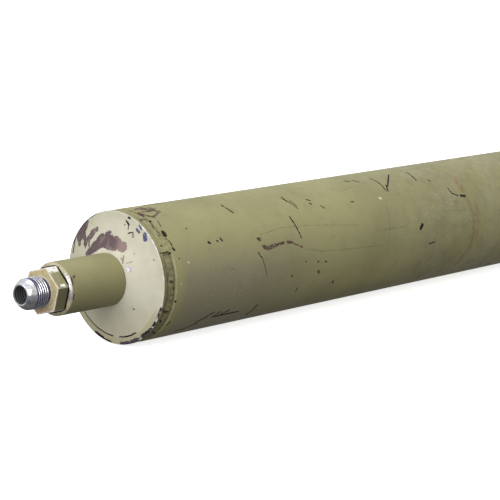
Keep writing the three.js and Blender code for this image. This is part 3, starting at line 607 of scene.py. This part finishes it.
def adapter_material(name, painted):
    """Zinc on the nose and thread. Where painted, the hexagon's flats are olive and its face is tan."""
    look = Look(name)
    u, r = look.x, look.radius()
    scratch = look.noise(0.5, 2, 0.6, look.vector("MULTIPLY", look.point, (1, 0.2, 0.2)))
    zinc = look.mix(look.patches(0.42, 0.62, 3.5), (0.93, 0.94, 0.97), (0.70, 0.70, 0.69))
    zinc = look.layer(zinc, (0.66, 0.70, 0.95), look.patches(0.5, 0.68, 5, 2, 0.55, 0.0, 0.7))
    # Painted shade in the thread's roots, tinted violet by the zinc's passivation.
    groove = look.both(look.ramp(r, 10.15, 9.75), look.band(u, 9.35, 9.5, 21.3, 21.6))
    zinc = look.layer(zinc, look.mix(look.noise(4, 2), (0.03, 0.02, 0.05), (0.09, 0.06, 0.20)), groove, 0.95)
    # Painted shade inside the bore, striped along its tool marks.
    inside = look.both(look.ramp(r, 5.98, 5.88), look.ramp(u, 27.05, 26.9))
    ribs = look.ramp(look.math("SINE", look.both(u, 3.1)), -0.3, 0.6)
    zinc = look.layer(zinc, look.mix(ribs, (0.07, 0.07, 0.075), (0.21, 0.21, 0.22)), inside)
    rough = look.ramp(scratch, 0.3, 0.7, 0.09, 0.20)
    rough = look.blend(look.most(groove, inside), rough, 0.5)
    metal = look.none_of(look.both(look.most(groove, inside), 0.7))
    height = look.both(scratch, 0.3)
    if painted:
        hexagon = look.both(look.ramp(u, 9.5, 9.4), look.ramp(r, 8.9, 9.1))
        face = look.ramp(u, 9.05, 9.15)
        tan = look.mix(look.patches(0.4, 0.65, 2.4), (0.60, 0.50, 0.27), (0.47, 0.40, 0.20))
        rusty = look.both(look.ramp(look.z, -7, -13), look.patches(0.36, 0.60, 2.0))
        tan = look.layer(tan, (0.47, 0.27, 0.20), rusty, 0.9)
        flecks = look.both(look.patches(0.60, 0.66, 0.9, 2, 0.7), look.ramp(look.z, -4, -9))
        tan = look.layer(tan, (0.85, 0.78, 0.66), flecks, 0.8)
        mouth = look.ramp(look.math("ADD", r, look.both(look.noise(1.5, 2), 0.6)), 10.6, 10.3)
        tan = look.layer(tan, (0.80, 0.74, 0.62), mouth, 0.75)
        olive = look.mix(look.noise(4, 3), (0.235, 0.22, 0.10), (0.31, 0.295, 0.14))
        # Painted shade: the hexagon's flats are darker low down.
        olive = look.layer(olive, (0.075, 0.068, 0.035), look.ramp(look.z, 3.6, 2.6, 0.0, 0.62))
        stain = look.both(look.ramp(look.z, -11.5, -13), look.patches(0.40, 0.55, 1.6, 2))
        olive = look.layer(olive, (0.20, 0.08, 0.07), stain, 0.8)
        # Chips through the paint: on the uppermost flat, at one corner's middle and along the edges.
        ragged = look.both(look.math("SUBTRACT", look.noise(1.8, 3, 0.65), 0.5), 5.0)
        chip = look.both(look.ramp(look.math("ADD", look.z, ragged), 12.6, 12.9),
                         look.patches(0.36, 0.42, 1.4, 2), look.ramp(look.y, -3, 1))
        nick = look.both(look.band(look.z, 4.2, 4.5, 5.5, 5.9), look.ramp(u, 2.4, 2.7),
                         look.ramp(look.math("ADD", u, ragged), 6.3, 6.0))
        corner = look.both(look.ramp(r, 15.85, 16.1), look.patches(0.44, 0.54, 1.5, 2), 0.8)
        flats = look.layer(olive, (0.90, 0.88, 0.82), look.most(chip, nick, corner))
        paint = look.mix(face, flats, tan)
        degrees = look.math("SUBTRACT", look.both(look.angle(), math.degrees(1)), 180 - BASE_CORNER)
        flat_angle = look.math("SUBTRACT", look.math("FLOORED_MODULO", degrees, 60.0), 30)
        to_edge = look.both(r, look.math("COSINE", look.both(flat_angle, math.radians(1))))
        rim = look.both(look.ramp(u, 8.8, 8.9), look.ramp(to_edge, 12.7, 13.4))
        paint = look.layer(paint, (0.88, 0.80, 0.70), rim, look.patches(0.32, 0.5, 1.3, 2), 0.8)
        zinc = look.mix(hexagon, zinc, paint)
        rough = look.blend(hexagon, rough, 0.42)
        metal = look.both(metal, look.none_of(hexagon))
        height = look.blend(hexagon, height, look.both(look.noise(0.8, 3, 0.6), 0.7))
    return look.finish(zinc, rough, metal, height, 0.06)


def metal_material(name, color, second, rough, turned=None, size=4.0, depth=0.04):
    """A metal with tarnish, and fine turning lines across x, y or z if asked for."""
    look = Look(name)
    tone = look.mix(look.patches(0.35, 0.7, size, 4, 0.6), color, second)
    lines = look.noise(0.6, 3, 0.6)
    if turned:
        squeeze = [1.0 if axis == turned else 0.03 for axis in "xyz"]
        lines = look.noise(0.35, 2, 0.6, look.vector("MULTIPLY", look.point, squeeze))
    roughness = look.ramp(lines, 0.25, 0.75, rough * 0.75, rough * 1.3)
    return look.finish(tone, roughness, 1.0, lines, depth)


def soft_material(name, color, second, rough, size=3.0):
    """Rubber or plastic with slight blotches and a moulded skin."""
    look = Look(name)
    tone = look.mix(look.patches(0.35, 0.7, size, 4, 0.6), color, second)
    skin = look.noise(0.4, 3, 0.6)
    return look.finish(tone, look.ramp(skin, 0.3, 0.7, rough * 0.85, rough * 1.15), 0.0, skin, 0.03)


def forged_olive():
    """Olive paint over a rough forging."""
    look, color, rough, height = olive_paint("olive_forging", marked=False)
    lumps = look.both(look.noise(1.8, 4, 0.65), 1.3)
    return look.finish(color, rough, 0.0, look.math("ADD", height, lumps), WELD_DEPTH)


olive_barrel = olive_material("olive_barrel", (0, 0, 0), True, BARREL_GLOSS)
olive_weld = weld_material()
olive_boss = olive_material("olive_boss", (55, 20, 9), False, PAINT_GLOSS)
olive_forging = forged_olive()
cap_paint = cap_material()
stub_paint = stub_material()
base_zinc = adapter_material("painted_zinc", True)
head_zinc = adapter_material("clean_zinc", False)
chrome = metal_material("hard_chrome", (0.78, 0.79, 0.80), (0.70, 0.71, 0.73), 0.09, "x", 30, 0.004)
turned_steel = metal_material("turned_steel", (0.50, 0.49, 0.47), (0.40, 0.39, 0.37), 0.32, "x")
ground_steel = metal_material("ground_steel", (0.56, 0.56, 0.57), (0.44, 0.42, 0.40), 0.24, "y")
iron = metal_material("ductile_iron", (0.24, 0.235, 0.22), (0.16, 0.155, 0.145), 0.42, "x")
black_steel = metal_material("black_oxide", (0.055, 0.053, 0.05), (0.10, 0.085, 0.07), 0.42)
brass = metal_material("dull_brass", (0.58, 0.43, 0.17), (0.38, 0.27, 0.10), 0.34, "z")
weld_steel = metal_material("weld_steel", (0.36, 0.34, 0.32), (0.20, 0.17, 0.15), 0.5, None, 2.0, 0.15)
nitrile = soft_material("nitrile", (0.018, 0.018, 0.018), (0.035, 0.034, 0.032), 0.55)
urethane = soft_material("urethane", (0.04, 0.12, 0.28), (0.03, 0.08, 0.19), 0.38)
ptfe = soft_material("filled_ptfe", (0.62, 0.59, 0.52), (0.48, 0.45, 0.38), 0.5)
nylon = soft_material("filled_nylon", (0.30, 0.11, 0.05), (0.20, 0.08, 0.04), 0.5)

# ---------------------------------------------------------------- barrel, cap and weld

tube = skin("barrel_skin", eased([
    (7.8, 38.1), (11.9, BARREL), (TUBE_END - 0.6, BARREL), (TUBE_END, BARREL - 0.6), (TUBE_END, 38.1),
], 0.3, 2), 192)
SCREW_X, SCREW_HOLE = TUBE_END - 8, 3.3
quarter_turn = Matrix.Rotation(math.pi / 2, 4, "Z")
upright = Matrix.Rotation(-math.pi / 2, 4, "Y")


def drill(obj, x, radius, low, high, turn, sides=48):
    """Cuts a round hole whose axis leaves the cylinder's axis at x, from low to high."""
    tool = revolved("drill", [(low, 0.0), (low, radius), (high, radius), (high, 0.0)], sides)
    combine(obj, tool, "DIFFERENCE", Matrix.Translation((x * MM, 0, 0)) @ turn)
    finish_mesh(obj.data)


drill(tube, SCREW_X, SCREW_HOLE, 30, 60, quarter_turn)
piece(tube, "barrel", "barrel_paint", olive_barrel, "barrel_tube")

CROWN_START, CROWN_END, CROWN_STEPS = 18.0, 40.3, 24  # radii between which it falls to the flat ring
cap_outline = [(-CROWN, STUB)]
for step in range(CROWN_STEPS):
    share = 1 - step / CROWN_STEPS
    cap_outline.append((-CROWN * share ** 1.2, CROWN_END - (CROWN_END - CROWN_START) * share))
cap_outline += [(0, CROWN_END), (0, 43.3), (0.12, 43.75), (0.5, BARREL), (2.9, BARREL), (3.2, BARREL - 0.2),
                (6.8, 38.6), (6.8, 37.8), (23, 37.8), (25, 35.8), (25, STUB)]
cap = skin("cap_skin", cap_outline, 192)
piece(cap, "barrel", "cap_paint", cap_paint, "base_cap")


def lump(x, y, z, size):
    return noise.noise(Vector((x / size, y / size, z / size)))


OVERLAP, SWELL = 25.5, 24  # degrees: the weld's last turn ends here, on its start, and is raised so far back
BEAD_FROM, BEAD_TO = 4.2, 10.9


def bead_point(across, angle):
    """A point on the base weld. across runs from 0 at the cap's edge to 1 at the tube's edge."""
    degrees = (math.degrees(angle) + 180) % 360 - 180
    past = degrees - OVERLAP
    swell = min(1.0, past / 1.4) * (1 - past / SWELL) ** 0.7 if 0 < past < SWELL else 0.0
    around = angle * BARREL
    y, z = math.cos(angle) * BARREL, math.sin(angle) * BARREL
    left = BEAD_FROM + 0.45 * lump(around, y, z, 9) - 0.9 * swell
    right = BEAD_TO + 0.5 * lump(y, z, 3, 7) + 2.6 * swell
    x = left + (right - left) * across
    dome = math.sin(math.pi * across) ** 0.5
    bow = 2.2 * math.cos(math.pi * (across - 0.5))
    ripple = math.cos(2 * math.pi * (around + bow) / 4.2)
    edge_depth = -1.7 + 1.3 * swell
    rise = edge_depth + dome * (1.45 + 0.14 * ripple + 0.55 * lump(x, y, z, 4.0) - 0.7 * swell)
    crevice = math.exp(-((past + 0.2) / 0.6) ** 2) if across < 0.97 else 0
    limit = AXIS_Z - 0.02  # stays inside the CAD's box at the sides and underneath
    return x, min(BARREL + rise - crevice, limit / max(abs(math.cos(angle)), 1e-3),
                  limit / max(-math.sin(angle), 1e-3))


def bead_row(across):
    return lambda angle: bead_point(across, angle)


ACROSS = 22
bead_outline = [bead_row(i / ACROSS) for i in range(ACROSS + 1)] + [(9.6, 40.0), (6.0, 40.0)]
bead = skin("base_bead_skin", bead_outline, 720)
piece(bead, "barrel", "weld_paint", olive_weld, "base_weld_bead")

# ---------------------------------------------------------------- port stub and adapters

stub = skin("stub_skin", eased([
    (-STUB_LENGTH, 13.4), (-STUB_LENGTH, 15.9), (-STUB_LENGTH + 1.5, STUB), (29, STUB), (29, 5), (-37, 5),
    (-40, 11.3), (-53.4, 11.3),
], 0.25, 3), 128)
piece(stub, "barrel", "stub_paint", stub_paint, "port_stub")

HEX_FLATS, HEX_FROM, HEX_TO = 28.2, 0.3, 9.3
PITCH, THREAD_TOP, THREAD_ROOT = 1.814, 10.35, 9.2


def hex_radius(shrink, turn):
    """The radius of a hexagon with slightly rounded corners, shrunk by shrink."""

    def radius(angle):
        local = math.radians((math.degrees(angle) - turn) % 60 - 30)
        return min((HEX_FLATS / 2 - shrink) / math.cos(local), HEX_FLATS / math.sqrt(3) - 0.25 - shrink)

    return radius


def thread_radius(u, lead_in, lead_out):
    """A right-hand thread that fades in and out at its ends."""

    def radius(angle):
        turn = u / PITCH + angle / (2 * math.pi)
        wave = 1 - abs(2 * (turn - math.floor(turn)) - 1)
        wave = min(1.0, max(0.0, (wave - 0.22) / 0.66))
        fade = min(1.0, max(0.0, (u - lead_in) / 0.8), max(0.0, (lead_out - u) / 0.8))
        return THREAD_ROOT + (THREAD_TOP - THREAD_ROOT) * wave * max(0.0, fade)

    return radius


def adapter_mesh(name, turn):
    """A straight adapter. x = 0 is the port's face and +X is the way out."""
    bore, steps = 5.6, 84
    start, stop = 11.8, 20.6
    outline = [(-13, bore), (-13, 10.2), (-12.2, 11), (-3.6, 11), (-3.4, 9.9), (HEX_FROM, 9.9)]
    outline += [(HEX_FROM, 13.4), (HEX_FROM, hex_radius(0.3, turn)), (HEX_FROM + 0.3, hex_radius(0, turn))]
    outline += [(HEX_TO - 0.2, hex_radius(0, turn)), (HEX_TO, hex_radius(0.2, turn)), (HEX_TO, 9.3)]
    outline += [(HEX_TO + 0.1, 9.0), (start - 0.5, 8.9), (start - 0.2, THREAD_ROOT)]
    for i in range(steps + 1):
        u = start + (stop - start) * i / steps
        outline.append((u, thread_radius(u, start, stop)))
    outline += [(20.8, 9.5), (21.2, 9.45), (21.4, 9.6), (21.6, 10.05), (21.9, 10.18), (22.6, 10.15)]
    outline += [(23.4, 9.8), (24.3, 9.2), (25.2, 8.45), (26.1, 7.6), (26.6, 7.1), (26.8, 6.95)]
    outline += [(NOSE_REACH, 6.8), (NOSE_REACH, 6.2), (27.0, 5.95), (26.6, 5.85), (26.2, 5.8)]
    # Fine tool marks inside the mouth.
    outline += [(26.0 - 0.45 * i, 5.72 if i % 2 else 5.84) for i in range(16)]
    outline += [(18.6, bore)]
    return revolved(name, outline, 144, math.radians(turn))


half_turn = Matrix.Rotation(math.pi, 4, "Z")
base_place = spot(-STUB_LENGTH) @ half_turn
base_adapter = link("base_adapter_skin", adapter_mesh("base_adapter_skin", 180 - BASE_CORNER), base_place)
piece(base_adapter, "barrel", "zinc", base_zinc, "base_port_adapter")

head_place = spot(HEAD_PORT, BOSS_TOP) @ upright
head_adapter = link("head_adapter_skin", adapter_mesh("head_adapter_skin", 0.0), head_place)
piece(head_adapter, "barrel", "zinc", head_zinc, "head_port_adapter")

# ---------------------------------------------------------------- head port

BOSS, BEAD_RADIUS = 17.4, 20
boss = skin("head_boss_skin", eased([
    (38.5, 6), (38.5, BOSS), (BOSS_TOP - 1.2, BOSS), (BOSS_TOP, BOSS - 1.2), (BOSS_TOP, 13.4),
    (BOSS_TOP - 2.6, 11.3), (BOSS_TOP - 15, 11.3), (BOSS_TOP - 15, 6),
], 0.3, 3), 96, spot(HEAD_PORT) @ upright)
tube_tool = revolved("tube_tool", [(-40, 0.0), (-40, BARREL + 0.05), (40, BARREL + 0.05), (40, 0.0)], 192)
combine(boss, tube_tool, "DIFFERENCE", upright.inverted())
finish_mesh(boss.data)
piece(boss, "barrel", "boss_paint", olive_boss, "head_port_boss")


def saddle_line(share, low=None):
    """One line of the fillet weld between the boss and the round barrel, share of the way out from the
    boss. With low it lies low millimetres under the barrel's surface, where the weld is closed."""
    row = []
    for j in range(360):
        angle = math.radians(j)
        ripple = 0.14 * math.cos(2 * math.pi * (angle * BEAD_RADIUS + 2 * math.cos(math.pi * share)) / 3.1)
        rough = 0.35 * lump(BEAD_RADIUS * math.cos(angle), BEAD_RADIUS * math.sin(angle), 6 * share, 4)
        swell = 0.7 * math.sin(math.pi * share) * (0.5 + ripple + rough) if low is None else 0.0
        rho = BOSS + 0.05 + 4.6 * share + swell
        up = 4.7 * (1 - share) - 0.25 + swell if low is None else -low
        y = rho * math.sin(angle)
        row.append((rho * math.cos(angle), y, math.sqrt(BARREL * BARREL - y * y) + up))
    return row


saddle_rows = [saddle_line(i / 12) for i in range(13)] + [saddle_line(4.35 / 4.6, 0.3), saddle_line(0, 0.3)]
saddle = link("head_bead_skin", grid_mesh("head_bead_skin", saddle_rows), spot(HEAD_PORT))
piece(saddle, "barrel", "weld_paint", olive_weld, "head_port_weld_bead")

# ---------------------------------------------------------------- gland

GLAND_OUT = TUBE_END + 0.3
HEAD_END = GLAND_OUT + 14
SPANNER_CIRCLE = 35  # radius of the circle of spanner holes
gland_outline = [
    (612, 19.35), (612, 29), (614, 31), (632, 31), (634, 37.8), (639, 37.8), (639, 34), (646, 34),
    (646, 37.8), (GLAND_OUT, 37.8), (GLAND_OUT, BARREL - 0.6), (GLAND_OUT + 0.6, BARREL),
    (HEAD_END - 1.5, BARREL), (HEAD_END, BARREL - 1.5), (HEAD_END, 26.5), (HEAD_END - 7, 24.5),
    (HEAD_END - 7, 19.35), (653, 19.35), (653, 25), (644, 25), (644, 19.35), (639, 19.35), (639, 25),
    (633, 25), (633, 19.35), (628, 19.35), (628, 22), (616, 22), (616, 19.35),
]
gland = skin("gland_skin", eased(gland_outline, 0.25, 2), 144)
for corner in (45, 135, 225, 315):
    hole = revolved("hole", [
        (HEAD_END - 8, 0.0), (HEAD_END - 8, 4.0), (HEAD_END - 0.4, 4.0), (HEAD_END + 0.4, 4.6),
        (HEAD_END + 3, 4.6), (HEAD_END + 3, 0.0),
    ], 40)
    turn, reach = math.radians(corner), SPANNER_CIRCLE * MM
    move = Matrix.Translation((0, reach * math.cos(turn), reach * math.sin(turn)))
    combine(gland, hole, "DIFFERENCE", move)
finish_mesh(gland.data)
drill(gland, SCREW_X, SCREW_HOLE, 35, 60, quarter_turn)
piece(gland, "barrel", "gland_iron", olive_boss, "gland")

wiper = skin("wiper_skin", eased([
    (HEAD_END - 6.7, 19.65), (HEAD_END - 6.7, 24.1), (HEAD_END - 1.2, 25.9), (HEAD_END + 1.2, 23.2),
    (HEAD_END + 1.6, 19.3), (HEAD_END + 0.4, 19.3),
], 0.4, 3), 96)
piece(wiper, "barrel", "urethane", urethane, "rod_wiper")

# ---------------------------------------------------------------- rod and eye

rod = skin("rod_skin", eased([
    (31, 0), (31, 11.4), (32, 12.4), (101.6, 12.4), (101.6, 19.05), (ROD_END - 1.2, 19.05), (ROD_END, 17.9),
    (ROD_END, 15.7), (ROD_END + 46.8, 15.7), (ROD_END + 48, 14.5), (ROD_END + 48, 0),
], 0.3, 2), 128)
piece(rod, "rod", "chrome", chrome, "rod")

eye_place = spot(EYE_X)
EYE, EYE_HALF, SHANK = 43.1, 14.5, 26.8
SHANK_FROM = ROD_END + 2 - EYE_X
CLAMP_X, CLAMP_Z, EAR = (-73, -51), 29.5, 20.8
NIPPLE_UP = 43.3
SCREW_HEAD_SEAT = -EAR + 10.0


def laid(mesh):
    """Turns a mesh made along +X to lie along +Y."""
    mesh.transform(quarter_turn)
    return mesh


hoop_outline = [(-EYE_HALF, 0.0), (-EYE_HALF, EYE), (EYE_HALF, EYE), (EYE_HALF, 0.0)]
eye = link("eye_skin", laid(revolved("hoop", eased(hoop_outline, 3.0, 4), 128)), eye_place)
shank_outline = [(SHANK_FROM, 0.0), (SHANK_FROM, SHANK), (-18, SHANK), (-18, 0.0)]
shank = revolved("shank", eased(shank_outline, 2.0, 4), 96)
combine(eye, shank, "UNION")
combine(eye, block_mesh((-84, -EAR, 10), (-40, EAR, 40.2), 2.5), "UNION")
blend_over = eye.modifiers.new("blend", "REMESH")
blend_over.mode, blend_over.voxel_size = "VOXEL", 1.1 * MM
ease = eye.modifiers.new("ease", "SMOOTH")
ease.factor, ease.iterations = 0.6, 10
bpy.context.view_layer.update()
baked(eye)


def round_tool(low, high, radius, edge, sides):
    """A cutter for a hole with a small chamfer at both mouths."""
    wide = radius + edge
    first = [(low - 20, 0.0), (low - 20, wide), (low, wide), (low + edge, radius)]
    return revolved("tool", first + [(low + high - x, r) for x, r in reversed(first)], sides)


combine(eye, round_tool(-EYE_HALF, EYE_HALF, 30.8, 0.8, 128), "DIFFERENCE", quarter_turn)
for side in (-1, 1):
    groove = revolved("groove", [(-1.05, 0.0), (-1.05, 33.1), (1.05, 33.1), (1.05, 0.0)], 128)
    combine(eye, groove, "DIFFERENCE", Matrix.Translation((0, side * 12.1 * MM, 0)) @ quarter_turn)
combine(eye, round_tool(SHANK_FROM, SHANK_FROM + 50, 16, 0.8, 72), "DIFFERENCE")
combine(eye, block_mesh((SHANK_FROM - 5, -1.25, 0), (-36, 1.25, 60), 0.01), "DIFFERENCE")
for x in CLAMP_X:
    move = Matrix.Translation((x * MM, 0, CLAMP_Z * MM)) @ quarter_turn
    combine(eye, revolved("tool", [(-40, 0.0), (-40, 5), (40, 5), (40, 0.0)], 40), "DIFFERENCE", move)
    seat = revolved("seat", [(-60, 0.0), (-60, 8.4), (SCREW_HEAD_SEAT, 8.4), (SCREW_HEAD_SEAT, 0.0)], 56)
    combine(eye, seat, "DIFFERENCE", move)
combine(eye, revolved("tool", [(35.5, 0.0), (35.5, 3.3), (48, 3.3), (48, 0.0)], 32), "DIFFERENCE", upright)
finish_mesh(eye.data, 35)
piece(eye, "rod", "eye_paint", olive_forging, "rod_eye")


def ball_arc(radius, low, high, steps):
    places = [low + (high - low) * i / steps for i in range(steps + 1)]
    return [(x, math.sqrt(radius ** 2 - x ** 2)) for x in places]


race_outline = [(-11, 30.2), (-10.6, 30.5), (10.6, 30.5), (11, 30.2)] + ball_arc(25.8, 11, -11, 24)
race = link("race_skin", laid(revolved("race_skin", race_outline, 144)), eye_place)
piece(race, "rod", "bearing_steel", ground_steel, "eye_race")
ball_outline = [(-17.1, 15.9), (-17.5, 16.3)] + ball_arc(25.5, -17.5, 17.5, 32) + [(17.5, 16.3), (17.1, 15.9)]
ball = link("ball_skin", laid(revolved("ball_skin", ball_outline, 144)), eye_place)
piece(ball, "ball", "bearing_steel", ground_steel, "eye_ball")


def socket(flats):
    """The radius of a hexagon, as a function of the angle."""
    return lambda angle: flats / 2 / math.cos(math.radians(math.degrees(angle) % 60 - 30))


for letter, x in zip("ab", CLAMP_X):
    head = SCREW_HEAD_SEAT - 0.3
    screw_outline = [
        (head - 5, 0.0), (head - 5, socket(8)), (head - 10.2, socket(8)), (head - 10.3, 5.2),
        (head - 10.3, 7.0), (head - 9.6, 7.9), (head, 7.9), (head, 4.7), (head + 28.9, 4.7),
        (head + 29.9, 3.7), (head + 29.9, 0.0),
    ]
    screw_name = f"clamp_screw_skin_{letter}"
    screw = link(screw_name, laid(revolved(screw_name, screw_outline, 72)), spot(EYE_X + x, CLAMP_Z))
    piece(screw, "rod", "black_oxide", black_steel, f"clamp_screw_{letter}")


def rounded(angle):
    """The radius of the nipple's small hexagon, whose corners are rounded."""
    return min(socket(9)(angle), 9 / 1.78)


nipple = skin("nipple_skin", [
    (-6, 0.0), (-6, 2.9), (0.3, 2.9), (0.4, 4.2), (0.6, rounded), (3.8, rounded), (4.1, 4.0), (4.3, 3.0),
    (5.2, 2.4), (6.3, 2.3), (6.9, 2.8), (7.4, 3.15), (8.2, 3.15), (8.9, 2.7), (9.6, 1.9), (9.9, 1.3),
    (9.9, 0.7), (9.3, 0.5), (9.3, 0.0),
], 48, spot(EYE_X, NIPPLE_UP) @ upright)
piece(nipple, "rod", "brass", brass, "grease_nipple")

# ---------------------------------------------------------------- CAD pieces that stay

KEPT = {
    "stub_weld_bead": weld_steel, "base_port_o_ring": nitrile, "head_port_o_ring": nitrile,
    "gland_o_ring": nitrile, "gland_backup_ring": ptfe, "gland_wear_ring": nylon, "rod_buffer_seal": ptfe,
    "rod_seal": urethane, "gland_lock_screw": black_steel, "piston": iron, "piston_nut": turned_steel,
    "piston_o_ring": nitrile, "piston_wear_ring_a": nylon, "piston_wear_ring_b": nylon,
    "piston_seal_expander": nitrile, "piston_seal": ptfe, "eye_circlip_left": black_steel,
    "eye_circlip_right": black_steel,
}
for name, material in KEPT.items():
    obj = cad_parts[name]
    obj.data.polygons.foreach_set("use_smooth", [True] * len(obj.data.polygons))
    obj.data.set_sharp_from_angle(angle=math.radians(35))
    for entry in obj.material_slots:
        entry.material = material

# ---------------------------------------------------------------- floor, light and camera


def area_light(name, place, target, size, power):
    data = bpy.data.lights.new(name, "AREA")
    data.shape, data.size, data.size_y = "RECTANGLE", size[0], size[1]
    data.energy = power
    lamp = bpy.data.objects.new(name, data)
    bpy.context.scene.collection.objects.link(lamp)
    lamp.location = place
    lamp.rotation_mode = "QUATERNION"
    lamp.rotation_quaternion = (Vector(target) - Vector(place)).to_track_quat("-Z", "Y")


bpy.ops.mesh.primitive_plane_add(size=60, location=(0, 0, -0.0003))
floor = bpy.context.object
floor.name = "floor"
floor_look = bpy.data.materials.new("pale_floor")
floor_look.use_nodes = True
floor_shader = floor_look.node_tree.nodes["Principled BSDF"]
floor_shader.inputs["Base Color"].default_value = (0.92, 0.92, 0.92, 1)
floor_shader.inputs["Roughness"].default_value = 0.9
floor_shader.inputs["Emission Color"].default_value = (1, 1, 1, 1)
floor_shader.inputs["Emission Strength"].default_value = 0.75
floor.data.materials.append(floor_look)
floor.visible_diffuse = False
floor.visible_glossy = False

# Brightness by height, from straight down (0) to straight up (1): dark below, so that metal has
# something to reflect, and pale above.
SKY_BANDS = ((0.12, 0.12), (0.34, 0.25), (0.46, 0.30), (0.53, 0.72), (0.72, 0.64), (1.0, 0.50))
world = bpy.data.worlds.new("studio")
bpy.context.scene.world = world
world.use_nodes = True
sky = world.node_tree
direction = sky.nodes.new("ShaderNodeTexCoord").outputs["Generated"]
split = sky.nodes.new("ShaderNodeSeparateXYZ")
sky.links.new(direction, split.inputs[0])
lift = sky.nodes.new("ShaderNodeMapRange")
lift.inputs["From Min"].default_value, lift.inputs["From Max"].default_value = -1, 1
sky.links.new(split.outputs[2], lift.inputs["Value"])
bands = sky.nodes.new("ShaderNodeValToRGB")
stops = bands.color_ramp.elements
for place, shade in SKY_BANDS:
    stop = stops.new(place)
    stop.color = (shade, shade, shade, 1)
stops.remove(stops[0])
stops.remove(stops[-1])
sky.links.new(lift.outputs[0], bands.inputs[0])
sky.links.new(bands.outputs[0], sky.nodes["Background"].inputs["Strength"])
sky.nodes["Background"].inputs["Color"].default_value = (1, 1, 1, 1)

area_light("overhead", (0.0, 0.1, 2.4), (0, 0, 0), (2.6, 1.6), 14.5)
area_light("front_left", (-2.7, -0.9, 0.75), (-0.35, 0, 0.05), (2.2, 1.8), 36)

CAMERA_FROM_CAP = Vector((-0.9581, -0.9698, 0.2428))
CAMERA_AIM = Vector((0.7371, 0.6558, -0.1628))
CAMERA_LENS = 152.9
camera_data = bpy.data.cameras.new("camera")
camera_data.lens, camera_data.sensor_width = CAMERA_LENS, 36
camera_data.clip_start, camera_data.clip_end = 0.05, 100
camera = bpy.data.objects.new("camera", camera_data)
bpy.context.scene.collection.objects.link(camera)
camera.location = spot(0).translation * MM + CAMERA_FROM_CAP
camera.rotation_mode = "QUATERNION"
camera.rotation_quaternion = CAMERA_AIM.to_track_quat("-Z", "Y")
bpy.context.scene.camera = camera
bpy.context.scene.view_settings.view_transform = "Standard"
